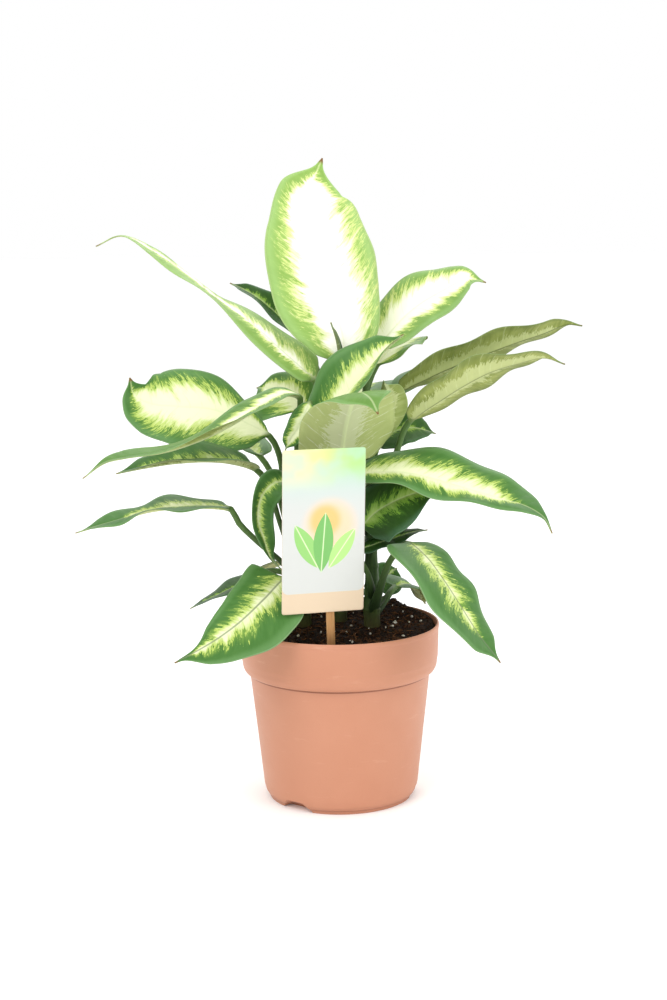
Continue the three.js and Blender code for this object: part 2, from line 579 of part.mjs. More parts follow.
// The mix has a plain hole for each cane and for the stake.
let soil = solidOf(soilGeometry()).subtract(solidOf(stakeGeometry(GAP).applyMatrix4(tag.matrixWorld)));
const caneClearance = {};
for (const [name, cane] of Object.entries(CANES)) {
  plant.add(piece("cane_" + name, caneGeometry(cane), material(COLOURS.cane, 0.5)));
  caneClearance[name] = solidOf(caneGeometry(cane, GAP));
  soil = soil.subtract(caneClearance[name]);
}
plant.add(piece("potting_mix", geometryOf(soil), material(COLOURS.soil, 0.95)));

// Each stalk is seated on its cane: it is cut back to the cane's clearance.
for (const [name, leaf] of Object.entries(LEAVES)) {
  const seated = solidOf(leafGeometry(leaf)).subtract(caneClearance[leaf.cane]);
  const finish = material(name === "leaf_crown_upright" ? COLOURS.youngLeaf : COLOURS.leaf);
  plant.add(piece(name, geometryOf(seated), finish));
}

export default plant;
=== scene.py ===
# A potted dieffenbachia: leaves with raised veins and cream feathering, the canes, the crumbly potting mix,
# the moulded pot and the printed tag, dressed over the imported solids.
from dataclasses import dataclass
from itertools import combinations
from types import SimpleNamespace as Sizes
import bpy
import numpy as np
from mathutils import Euler, Matrix, Vector
from numpy import cos, pi, radians, sin


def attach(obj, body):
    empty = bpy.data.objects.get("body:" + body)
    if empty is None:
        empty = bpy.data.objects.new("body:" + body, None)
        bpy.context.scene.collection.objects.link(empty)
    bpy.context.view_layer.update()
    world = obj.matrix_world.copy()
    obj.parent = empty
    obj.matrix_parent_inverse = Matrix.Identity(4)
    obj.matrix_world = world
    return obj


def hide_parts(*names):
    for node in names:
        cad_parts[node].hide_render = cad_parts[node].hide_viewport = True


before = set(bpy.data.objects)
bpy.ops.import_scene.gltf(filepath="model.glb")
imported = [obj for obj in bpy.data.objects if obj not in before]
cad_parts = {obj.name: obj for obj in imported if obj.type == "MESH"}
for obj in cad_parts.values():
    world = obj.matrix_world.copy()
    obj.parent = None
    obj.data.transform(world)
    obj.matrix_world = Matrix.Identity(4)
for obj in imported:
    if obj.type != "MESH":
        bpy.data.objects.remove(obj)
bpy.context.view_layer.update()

MM = 0.001
SEED = 11

# Dimensions are in mm and angles in degrees, with the origin under the middle of the pot's foot and the
# front towards -y.
POT = Sizes(height=108.0, rim=61.0, band_foot=84.5, band_turn=78.5, band_inset=1.2, band_slack=0.4,
            band_step=1.1, wall_top=55.2, wall_foot=47.5, corner=8.0, foot=44.4, foot_height=2.2, wall=1.3,
            floor=1.6, floor_radius=36.0, corner_top=10.0, edge=0.5, sides=144, sharp_angle=42.0)
# Painted shade, dark lines under the band and round the foot: from and to which height, and how strong.
POT_SHADE_LINES = ((77.4, 78.5, 0.7), (2.0, 2.4, 0.5))
# The gaps run in under the foot and get lower: an arch's reach from the axis and its height, at each end.
FOOT_GAPS = Sizes(count=3, first=-127.0, width=25.0, top_width=12.0, inner=(37.0, 1.2), outer=(52.4, 9.0))
DRAIN = Sizes(count=6, first=24.0, ring=26.0, radius=3.2, foot=-4.0, top=8.0, sides=28)
# heap is how much higher the mix lies in front of the rim, at heap_at radians from the front.
SOIL = Sizes(level=101.5, crown=5.0, back_rise=3.0, lump=1.1, clearance=0.4, heap=6.0, heap_at=2.5,
             rings=46, sides=150, ripples=22, ripple=0.55, cane_gap=1.2, stake_gap=4.0)
CRUMBS = Sizes(count=1500, margin=2.2, rise=0.15, squash=0.8,
               sizes=(0.5, 0.8, 1.2, 1.7), shares=(0.35, 0.35, 0.22, 0.08))
PERLITE = Sizes(count=60, margin=3.0, rise=0.6, squash=0.9, sizes=(0.5, 1.1))
FIBRES = Sizes(count=170, margin=8.0, rise=0.7, sag=0.8, width=1.6, thickness=0.8, joints=6, sides=5)
# The rings lie from first_ring above the mix to last_ring below the top, whose edge slopes over tip.
CANE = Sizes(radius=5.2, top_radius=3.6, ring_height=0.45, ring_width=0.9, pitch=14.0, waist=0.2, depth=42.0,
             first_ring=2.0, last_ring=3.0, tip=1.5, step=0.7, sides=28)
# channel is the depth of the sheath's channel, as a share of the radius. The upper and the under side each
# reach round by side_arc to the left and to the right.
STALK = Sizes(foot_radius=2.9, radius=1.9, sheath_spread=0.45, channel=0.55, side_arc=86.0)
# ripple is the share by which a blade's half width ripples, and right_shift how far its right margin's
# waves are ahead of the left one's, in radians.
BLADE = Sizes(thickness=0.6, tip_half_width=0.45, fade_in=0.06, rib_depth=1.5, groove=0.45,
              ripple=0.012, right_shift=1.9)
VEINS = Sizes(spacing=7.5, lean=0.45, curve=0.011, relief=0.22)
# gather draws a leaf's rings towards the blade's foot and tip, and crowd draws their corners to the rib.
RINGS = Sizes(stalk=16, blade=120, across=27, gather=0.055, crowd=1.5)
CARD = Sizes(width=49.0, height=97.0, thickness=0.8, corner=1.5, foot=24.0, shift=-6.0, gap=0.35, edge=0.15,
             bow=0.35, print_foot=12.0, print_corner=4.0)
STAKE = Sizes(width=4.8, thickness=1.8, length=156.0, depth=38.0, lean=-2.6, point=8.0,
              tip_share=0.3, edge=0.3, bevel=0.25, wear=0.06, rings=40)
TAG = Sizes(x=-5.0, y=-46.0, turn=15.0, forward=5.0)

# Where each cane stands, and the height of its top
CANES = {
    "middle": (0, 8, 207),
    "right": (20, -2, 168),
    "left": (-22, 4, 168),
    "back": (2, 32, 174),
}


@dataclass
class Leaf:
    """One leaf, on its cane from a height upwards. Left and right are seen along the leaf from its foot."""
    cane: str
    height: float
    width: float
    fold: tuple  # how steeply each half rises, at the rib and at the margin
    wave: tuple  # the margin's waviness: its height, the waves along the blade, and their phase
    stalk: list  # places that the stalk passes
    rib: list  # places that the rib passes, from the blade's foot to its tip
    cream: float  # how far the pale centre reaches towards the margin
    dark: float  # how deep its green is, 0 for a young leaf, 1 for one in shadow: partly painted shade
    roll: tuple = (0, 0, 0)  # its turn about the rib at foot, middle and tip, which lifts its left side
    heading: tuple = None  # which way it runs in plan, if not from its foot to its tip
    halves: tuple = (1, 1)  # the left and right sides' shares of half the width
    bias: tuple = (1, 1)  # how far each side's widest place is moved towards the tip
    line: float = 0.0  # how dark the line of its rib is
    speckle: float = 0.6  # how thickly flecks lie round the cream's edge
    lop: float = 0.0  # how much further the cream reaches on the right, and how much less on the left
    reach: float = 1.0  # the share of its length at which the cream ends
    pale: float = 0.0  # 1 where its underside is paler than the others'


# The leaves, with places in mm
LEAVES = {
    "crown_upright": Leaf(
        "middle", 204, 67, roll=(0, 0, -6), fold=(12, -4), wave=(2.4, 1.6, 0.6), bias=(1, 1.2),
        heading=(-0.1, 1),
        stalk=[(0, 13, 234)],
        rib=[(4, 15, 262), (4, 16, 281), (-3, 20, 303), (-10, 25, 327), (-14, 31, 349), (-15, 34, 368),
             (-7, 32, 388)],
        cream=0.68, dark=0.05, speckle=1.7, lop=0.16),
    "spear": Leaf(
        "middle", 198, 5, fold=(70, 80), wave=(0, 1, 0),
        stalk=[(6, 2, 211), (5, 2, 232)], rib=[(3, 5, 248), (3, 8, 264), (1, 9, 278), (-3, 9, 290)],
        cream=0.0, dark=0.9, line=0.6),
    "left_high": Leaf(
        "middle", 188, 44, roll=(-48, -8, -6), fold=(2, -10), wave=(1.8, 2.5, 0), halves=(0.7, 0.9),
        bias=(1, 0.6),
        stalk=[(-9, 9, 205), (-10, 14, 234)],
        rib=[(-12, 17, 252), (-22, 16, 263), (-34, 15, 274), (-50, 14, 289), (-70, 14, 304), (-90, 16, 320),
             (-110, 16, 334), (-128, 14, 343), (-143, 10, 337)],
        cream=0.36, dark=0.14, line=0.4, speckle=1.8, lop=0.1),
    "right_cream": Leaf(
        "middle", 184, 46, roll=(30, 38, 34), fold=(14, 2), wave=(1.5, 2, 1),
        stalk=[(13, 12, 216), (19, 21, 256)],
        rib=[(24, 27, 270), (34, 32, 283), (49, 36, 297), (66, 38, 307), (82, 39, 314), (93, 38, 312)],
        cream=0.6, dark=0.22, line=0.1, speckle=1.2, lop=-0.16),
    "over_left": Leaf(
        "left", 163, 29, roll=(-14, 4, -4), fold=(16, 4), wave=(1.6, 2, 2),
        stalk=[(-24, 4, 202), (-24, 3, 230)],
        rib=[(-22, 1, 245), (-31, -8, 249), (-46, -22, 243), (-62, -33, 234), (-80, -40, 226),
             (-100, -46, 220), (-122, -50, 217), (-134, -50, 214), (-147, -48, 205)],
        cream=0.5, dark=0.35, line=0.1, speckle=1.0, reach=0.55),
    "front_curled": Leaf(
        "middle", 168, 60, roll=(0, 0, 10), fold=(4, -14), wave=(1, 2, 0), bias=(0.8, 0.8),
        stalk=[(1, -9, 176), (-1, -14, 190)],
        rib=[(1, -19, 206), (3, -27, 223), (7, -39, 242), (11, -48, 251), (14, -55, 253), (19, -63, 250),
             (23, -68, 242)],
        cream=0.42, dark=0.3, speckle=1.4, reach=0.7, pale=1),
    "behind_left": Leaf(
        "middle", 169, 42, roll=(-34, -38, -30), fold=(10, 2), wave=(1.5, 2, 1), halves=(1.3, 1),
        stalk=[(-11, 16, 194), (-17, 23, 221)],
        rib=[(-21, 28, 235), (-30, 35, 243), (-40, 41, 247), (-50, 46, 248)],
        cream=0.5, dark=0.42, speckle=1.0),
    "right_broad": Leaf(
        "middle", 152, 41, roll=(22, 28, 6), fold=(14, -2), wave=(1.8, 3, 0.5), halves=(1.2, 0.85),
        stalk=[(7, -5, 176)],
        rib=[(7, -14, 198), (19, -24, 203), (40, -33, 204), (60, -41, 200), (78, -48, 195), (94, -55, 191),
             (108, -60, 187), (117, -62, 181), (122, -62, 172)],
        cream=0.42, dark=0.48, line=0.15, speckle=1.3, reach=0.88),
    "right_high": Leaf(
        "middle", 156, 31, roll=(-34, -34, -30), fold=(18, 6), wave=(1.5, 3, 1),
        stalk=[(13, 7, 186), (24, 8, 228)],
        rib=[(36, 6, 247), (54, 3, 257), (72, 0, 265), (90, -3, 272), (107, -5, 278), (123, -6, 283),
             (137, -6, 288), (146, -6, 287)],
        cream=0.3, dark=0.6, line=1.0, speckle=1.2),
    "back_tall": Leaf(
        "middle", 180, 52, fold=(14, 0), wave=(2, 2, 0),
        stalk=[(-3, 22, 214), (0, 34, 254)], rib=[(2, 46, 274), (2, 68, 300), (0, 90, 310), (-3, 112, 302)],
        cream=0.65, dark=0.2, line=0.1),
    "back_right_high": Leaf(
        "middle", 167, 40, fold=(14, 0), wave=(2, 2, 2),
        stalk=[(10, 22, 203), (18, 38, 243)],
        rib=[(25, 50, 260), (35, 62, 270), (46, 74, 275), (56, 84, 272)],
        cream=0.6, dark=0.3, line=0.1),
    "right_rolled": Leaf(
        "right", 162, 27, roll=(-60, -50, -40), fold=(48, 40), wave=(0.8, 2, 0), bias=(1.5, 1.5),
        stalk=[(20, -3, 192)],
        rib=[(21, -4, 214), (24, -10, 228), (28, -17, 240), (30, -24, 250), (28, -30, 256)],
        cream=0.6, dark=0.2),
    "right_low": Leaf(
        "right", 150, 33, roll=(-30, -34, -10), fold=(16, 0), wave=(1.6, 3, 2),
        stalk=[(30, 4, 184), (36, 3, 212)],
        rib=[(43, -1, 230), (63, -10, 246), (88, -19, 261), (106, -25, 267), (121, -28, 270),
             (133, -28, 266)],
        cream=0.42, dark=0.5, line=0.9, speckle=1.2),
    "right_shaded": Leaf(
        "middle", 136, 50, roll=(60, 52, 38), fold=(10, -4), wave=(1.2, 2, 0), halves=(0.8, 1),
        stalk=[(7, -7, 150)],
        rib=[(14, -14, 168), (21, -17, 177), (31, -21, 184), (41, -25, 189), (51, -28, 192), (60, -30, 191)],
        cream=0.28, dark=0.92, line=0.3, speckle=1.4),
    "right_under": Leaf(
        "right", 124, 17, roll=(26, 26, 12), fold=(6, -4), wave=(1, 2, 1),
        stalk=[(18, -13, 138)],
        rib=[(12, -11, 153), (21, -14, 158), (32, -17, 162), (43, -19, 166), (53, -21, 168)],
        cream=0.0, dark=1.0, line=0.3),
    "front_right": Leaf(
        "right", 113, 47.4, roll=(0, -8, -10), fold=(12, -4), wave=(1.6, 2.5, 0), halves=(0.85, 1.3),
        stalk=[(25, -12, 132), (31, -21, 150)],
        rib=[(40, -29, 161), (50, -45, 157), (60, -58, 145), (70, -68, 130), (79, -74, 116), (91, -79, 101)],
        cream=0.25, dark=0.54, line=0.9, speckle=1.5, reach=0.9),
    "low_right": Leaf(
        "right", 112, 30, roll=(10, 10, 0), fold=(10, 0), wave=(0.8, 2, 0),
        stalk=[(27, 6, 118), (32, 14, 123)],
        rib=[(35, 23, 124), (41, 30, 125), (48, 35, 121), (55, 38, 110)],
        cream=0.15, dark=0.7, line=0.5),
    "left_broad": Leaf(
        "left", 151, 58, roll=(-44, -58, -50), fold=(8, -4), wave=(1.8, 2, 0), halves=(1.06, 0.88),
        bias=(1, 1.8),
        stalk=[(-32, 9, 180), (-35, 11, 208)],
        rib=[(-41, 11, 221), (-56, 12, 230), (-76, 12, 238), (-96, 12, 240), (-113, 12, 242),
             (-123, 11, 248), (-125, 10, 258)],
        cream=0.56, dark=0.5, line=0.1, speckle=1.6),
    "arching_right": Leaf(
        "middle", 157, 54, roll=(20, 38, 24), fold=(34, 26), wave=(1.5, 2, 1), halves=(0.85, 1),
        stalk=[(-12, 3, 184), (-13, -1, 205)],
        rib=[(-12, -4, 219), (-6, -5, 231), (4, -7, 246), (16, -8, 260), (28, -8, 273), (40, -6, 283)],
        cream=0.48, dark=0.5, line=0.1, speckle=1.5, lop=0.16),
    "left_drooping": Leaf(
        "left", 148, 22, roll=(-30, -50, -60), fold=(30, 20), wave=(1, 2, 0), halves=(1, 0.8),
        bias=(0.6, 0.5),
        stalk=[(-25, -9, 174)],
        rib=[(-27, -15, 194), (-34, -23, 198), (-41, -31, 196), (-46, -37, 188), (-47, -39, 178),
             (-44, -38, 167), (-40, -37, 155), (-33, -36, 147)],
        cream=0.2, dark=0.66, line=0.2, speckle=1.2),
    "left_dark": Leaf(
        "left", 133, 38, roll=(-6, -10, -6), fold=(26, 10), wave=(1.4, 2, 0),
        stalk=[(-34, 1, 166), (-42, -3, 193)],
        rib=[(-49, -10, 204), (-62, -20, 210), (-78, -25, 212), (-96, -26, 211), (-113, -25, 208),
             (-131, -22, 204)],
        cream=0.16, dark=0.7, line=0.3, speckle=1.2),
    "left_low": Leaf(
        "left", 118, 32, roll=(-6, -6, -10), fold=(14, 0), wave=(2, 2.5, 0),
        stalk=[(-33, -2, 144), (-48, -8, 159), (-60, -11, 172)],
        rib=[(-64, -12, 180), (-80, -15, 183), (-97, -17, 183), (-114, -19, 181), (-130, -19, 176),
             (-144, -19, 172), (-157, -18, 168)],
        cream=0.3, dark=0.5, line=0.2, speckle=1.2, reach=0.8),
    "front_left": Leaf(
        "left", 112, 54, roll=(-36, -34, -10), fold=(6, -4), wave=(1, 2, 0), halves=(1, 0.78),
        bias=(0.85, 0.4),
        stalk=[(-23, -11, 128), (-26, -21, 139)],
        rib=[(-32, -30, 141), (-44, -45, 132), (-57, -58, 122), (-70, -67, 114), (-82, -73, 108),
             (-94, -78, 103)],
        cream=0.3, dark=0.54, line=0.9, speckle=1.6, lop=0.06),
    "left_inner": Leaf(
        "left", 124, 15, roll=(-40, -60, -60), fold=(10, 0), wave=(0.8, 2, 0),
        stalk=[(-16, -8, 150), (-19, -12, 200)],
        rib=[(-16, -8, 243), (-19, -12, 237), (-23, -16, 229), (-28, -18, 222), (-31, -18, 216)],
        cream=0.55, dark=0.55, line=0.3, speckle=1.6),
    "back_left_mid": Leaf(
        "left", 130, 46, fold=(14, 0), wave=(1.8, 2, 0),
        stalk=[(-32, 20, 167), (-40, 34, 192)],
        rib=[(-48, 44, 204), (-66, 60, 216), (-86, 72, 220), (-106, 80, 212)],
        cream=0.4, dark=0.55, line=0.2),
    "back_narrow": Leaf(
        "back", 166, 20, roll=(-30, -30, -20), fold=(26, 16), wave=(1, 2, 0),
        stalk=[(-4, 40, 214), (-10, 48, 252)],
        rib=[(-20, 48, 276), (-34, 50, 291), (-49, 52, 304), (-66, 58, 313)],
        cream=0.1, dark=0.85, line=0.3, speckle=1.0),
    "back_middle": Leaf(
        "back", 158, 54, fold=(14, 0), wave=(2, 2, 1),
        stalk=[(5, 48, 192), (7, 60, 222)],
        rib=[(8, 68, 233), (12, 92, 242), (16, 118, 241), (19, 142, 228)],
        cream=0.5, dark=0.5, line=0.2),
    "right_dark": Leaf(
        "back", 152, 36, roll=(30, 34, 20), fold=(12, 4), wave=(1, 2, 0),
        stalk=[(12, 25, 178), (19, 22, 200)],
        rib=[(23, 21, 213), (33, 22, 221), (46, 24, 224), (61, 26, 220)],
        cream=0.15, dark=0.8, line=0.3),
    "back_right_mid": Leaf(
        "back", 138, 48, fold=(14, 0), wave=(1.8, 2, 0),
        stalk=[(17, 38, 182), (29, 47, 222)],
        rib=[(38, 54, 240), (60, 66, 254), (84, 76, 259), (106, 84, 253)],
        cream=0.45, dark=0.5, line=0.2),
    "back_right_low": Leaf(
        "back", 128, 44, fold=(12, 0), wave=(1.6, 2, 2),
        stalk=[(18, 42, 152), (32, 51, 169)],
        rib=[(43, 56, 177), (65, 66, 185), (87, 74, 182), (106, 80, 170)],
        cream=0.3, dark=0.6, line=0.5),
    "back_drooping": Leaf(
        "back", 120, 40, fold=(12, -4), wave=(1.4, 2, 0),
        stalk=[(-2, 46, 144), (-6, 57, 156)],
        rib=[(-9, 66, 157), (-13, 84, 146), (-16, 98, 126), (-18, 106, 104)],
        cream=0.25, dark=0.6, line=0.7),
    "back_left_low": Leaf(
        "back", 114, 40, fold=(12, -4), wave=(1.4, 2, 1),
        stalk=[(-12, 44, 132), (-24, 54, 138)],
        rib=[(-31, 60, 136), (-48, 73, 126), (-61, 82, 113), (-71, 88, 99)],
        cream=0.22, dark=0.65, line=0.7),
    "low_left": Leaf(
        "back", 110, 28, roll=(-10, -10, 0), fold=(12, 0), wave=(0.8, 2, 0),
        stalk=[(-18, 32, 124), (-38, 34, 133)],
        rib=[(-48, 36, 132), (-63, 38, 124), (-79, 40, 116), (-95, 42, 108)],
        cream=0.1, dark=0.85, line=0.4),
    "low_back": Leaf(
        "back", 115, 24, roll=(44, 48, 40), fold=(10, 0), wave=(0.6, 2, 0),
        stalk=[(11, 40, 116), (18, 46, 117)],
        rib=[(24, 51, 118), (29, 56, 121), (34, 61, 126), (38, 65, 128)],
        cream=0.1, dark=0.8, line=0.4),
}


def lerp(a, b, share):
    return a + (b - a) * share


def smooth(x, low, high):
    share = np.clip((np.asarray(x, float) - low) / (high - low), 0, 1)
    return share * share * (3 - 2 * share)


def bell(x, width):
    return np.exp(-((x / width) ** 2))


def unit(rows):
    return rows / np.linalg.norm(rows, axis=-1, keepdims=True)


def threes(*parts):
    """Rows of three values, from three arrays or numbers that are spread to one shape."""
    return np.stack(np.broadcast_arrays(*parts), -1)


def grid_faces(rows, columns, first=0):
    """Quads between the rows of a grid whose columns close on themselves."""
    j, k = np.meshgrid(np.arange(rows - 1), np.arange(columns), indexing="ij")
    after = (k + 1) % columns
    quads = [j * columns + k, (j + 1) * columns + k, (j + 1) * columns + after, j * columns + after]
    return (np.stack(quads, -1).reshape(-1, 4) + first).tolist()


def tube_faces(rows, columns, first=0):
    """The quads between rings of corners, and a flat face at either end."""
    end = first + (rows - 1) * columns
    ends = [list(range(first, first + columns)), list(range(end, end + columns))[::-1]]
    return grid_faces(rows, columns, first) + ends


def closed_form(bottom, rings, top):
    """Corners and faces of rings, each anticlockwise from above, between two points on their axis."""
    sides = len(rings[0])
    corners = np.vstack([[bottom], *rings, [top]])
    faces = [quad[::-1] for quad in grid_faces(len(rings), sides, 1)]
    last = len(corners) - 1
    for k in range(sides):
        after = (k + 1) % sides
        faces.append([0, 1 + after, 1 + k])
        faces.append([last, last - sides + k, last - sides + after])
    return corners, faces


def new_object(name, data):
    made = bpy.data.objects.new(name, data)
    bpy.context.scene.collection.objects.link(made)
    return made


def new_form(name, corners, faces):
    """An object with a mesh from corners in mm."""
    mesh = bpy.data.meshes.new(name)
    mesh.from_pydata((np.asarray(corners) * MM).tolist(), [], faces)
    return new_object(name, mesh)


def add_piece(name, corners, faces, material, replaced=(), attributes=None, sharp=False):
    """A piece of the plant, riding on its one body."""
    piece = new_form(name, corners, faces)
    mesh = piece.data
    for label, values in (attributes or {}).items():
        layer = mesh.attributes.new(label, "FLOAT_VECTOR", "POINT")
        layer.data.foreach_set("vector", np.asarray(values, np.float32).ravel())
    mesh.polygons.foreach_set("use_smooth", [not sharp] * len(mesh.polygons))
    mesh.materials.append(material)
    mesh.update()
    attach(piece, "root")
    if replaced:
        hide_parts(*replaced)
    return piece


# The materials, in a small notation: each call or sum adds a node and gives what comes out of it

def rgb(code):
    channels = [int(code[i:i + 2], 16) / 255 for i in (1, 3, 5)]
    return tuple(c / 12.92 if c <= 0.04045 else ((c + 0.055) / 1.055) ** 2.4 for c in channels) + (1.0,)


class Value:
    """What comes out of a node. Plain arithmetic with it adds the nodes that work it out."""

    def __init__(self, finish, socket):
        self.finish = finish
        self.socket = socket

    def __add__(self, other):
        return self.finish.math("ADD", self, other)

    def __sub__(self, other):
        return self.finish.math("SUBTRACT", self, other)

    def __rsub__(self, other):
        return self.finish.math("SUBTRACT", other, self)

    def __mul__(self, other):
        return self.finish.math("MULTIPLY", self, other)

    def __abs__(self):
        return self.finish.math("ABSOLUTE", self)

    def within(self, low, high, at_low=0.0, at_high=1.0):
        """Eases from at_low to at_high while this goes from low to high."""
        given = dict(enumerate((self, low, high, at_low, at_high)))
        return self.finish.node("MapRange", given, interpolation_type="SMOOTHSTEP")


class Finish:
    """A procedural material. Its shader's constants are given by name."""

    def __init__(self, name, **constants):
        self.material = bpy.data.materials.new(name)
        self.material.use_nodes = True
        self.tree = self.material.node_tree
        self.shader = self.tree.nodes["Principled BSDF"]
        for label, constant in constants.items():
            self.shader.inputs[label.replace("_", " ")].default_value = constant

    def put(self, socket, value):
        """Gives a socket a value, a colour code or a constant."""
        if isinstance(value, Value):
            self.tree.links.new(value.socket, socket)
        else:
            socket.default_value = rgb(value) if isinstance(value, str) else value

    def node(self, kind, given, output=0, **settings):
        """Adds a node with what is given to its sockets, by name or number."""
        node = self.tree.nodes.new("ShaderNode" + kind)
        for label, setting in settings.items():
            setattr(node, label, setting)
        for socket, value in given.items():
            self.put(node.inputs[socket], value)
        return Value(self, node.outputs[output])

    def math(self, operation, *values):
        return self.node("Math", dict(enumerate(values)), operation=operation)

    def mix(self, share, a, b):
        """The colour b over the colour a, by a share."""
        return self.node("Mix", {0: share, 6: a, 7: b}, output=2, data_type="RGBA")

    def split(self, vector):
        parts = self.tree.nodes.new("ShaderNodeSeparateXYZ")
        self.put(parts.inputs[0], vector)
        return [Value(self, part) for part in parts.outputs]

    def attribute(self, name):
        """The three values that each corner of a mesh has under a name."""
        return self.split(self.node("Attribute", {}, output="Vector", attribute_name=name))

    def place(self):
        return self.node("TexCoord", {}, output="Object")

    def noise(self, place, scale=1.0, detail=2.0, roughness=0.5):
        """Noise at a place, or at its three parts."""
        vector = place if isinstance(place, Value) else self.node("CombineXYZ", dict(enumerate(place)))
        given = {"Vector": vector, "Scale": scale, "Detail": detail, "Roughness": roughness}
        return self.node("TexNoise", given)

    def cells(self, vector, scale):
        return self.node("TexVoronoi", {"Vector": vector, "Scale": scale}, output="Distance")

    def bump(self, height, distance, strength):
        given = {"Height": height, "Distance": distance, "Strength": strength}
        self.put(self.shader.inputs["Normal"], self.node("Bump", given))

    def finish(self, colour, roughness):
        self.put(self.shader.inputs["Base Color"], colour)
        self.put(self.shader.inputs["Roughness"], roughness)
        return self.material


# The leaves' colours for a young, a grown and a shaded leaf; the shaded ones are partly painted shade
LEAF_COLOURS = dict(
    green=("#98bb64", "#548040", "#31541f"),
    dull_green=("#7da148", "#3b6a2a", "#1d3a10"),
    mottle=("#5c8c35", "#356a24", "#1c4412"),
    flush=("#b0cc70", "#88ab4d", "#4d7a2c"),
    sheen=("#a2c47c", "#6c955c", "#40644a"),
    fringe=("#c9d684", "#b4c965", "#6d9a36"),
    centre=("#fbfbee", "#ebf0c6", "#94b656"),
    crease=("#dccfc0", "#cdd89a", "#5d8440"),
    edge=("#c3d69a", "#93b083", "#6b8c70"),
    olive=("#bcc787", "#a9b168", "#4f6133"),
    dull_olive=("#a3b26b", "#848f47", "#384a22"),
    blotch=("#8b9c4a", "#6c7a34", "#2c3c18"),
    olive_border=("#7d9148", "#6b7a45", "#33461f"),
)
# Noise drawn out along the side veins: how fine it is along the leaf and along the veins, a factor that
# makes it differ from leaf to leaf, its detail and its roughness.
STREAKS = dict(
    fingers=(1.15, 0.18, 7.3, 1.0, 0.55),
    jags=(4.2, 0.5, 5.1, 3.0, 0.55),
    flecks=(13.0, 3.0, 3.1, 2.0, 0.65),
    mottle=(7.0, 2.2, 1.7, 2.0, 0.55),
)
# How far each kind of noise moves the cream's edge, in shares of the half width
FEATHERING = Sizes(fingers=0.2, drift=0.12, jags=0.17, flecks=0.26, least_flecks=0.05)


def spread(noise):
    """Noise spread evenly round nought."""
    return noise * 3.0 - 1.5


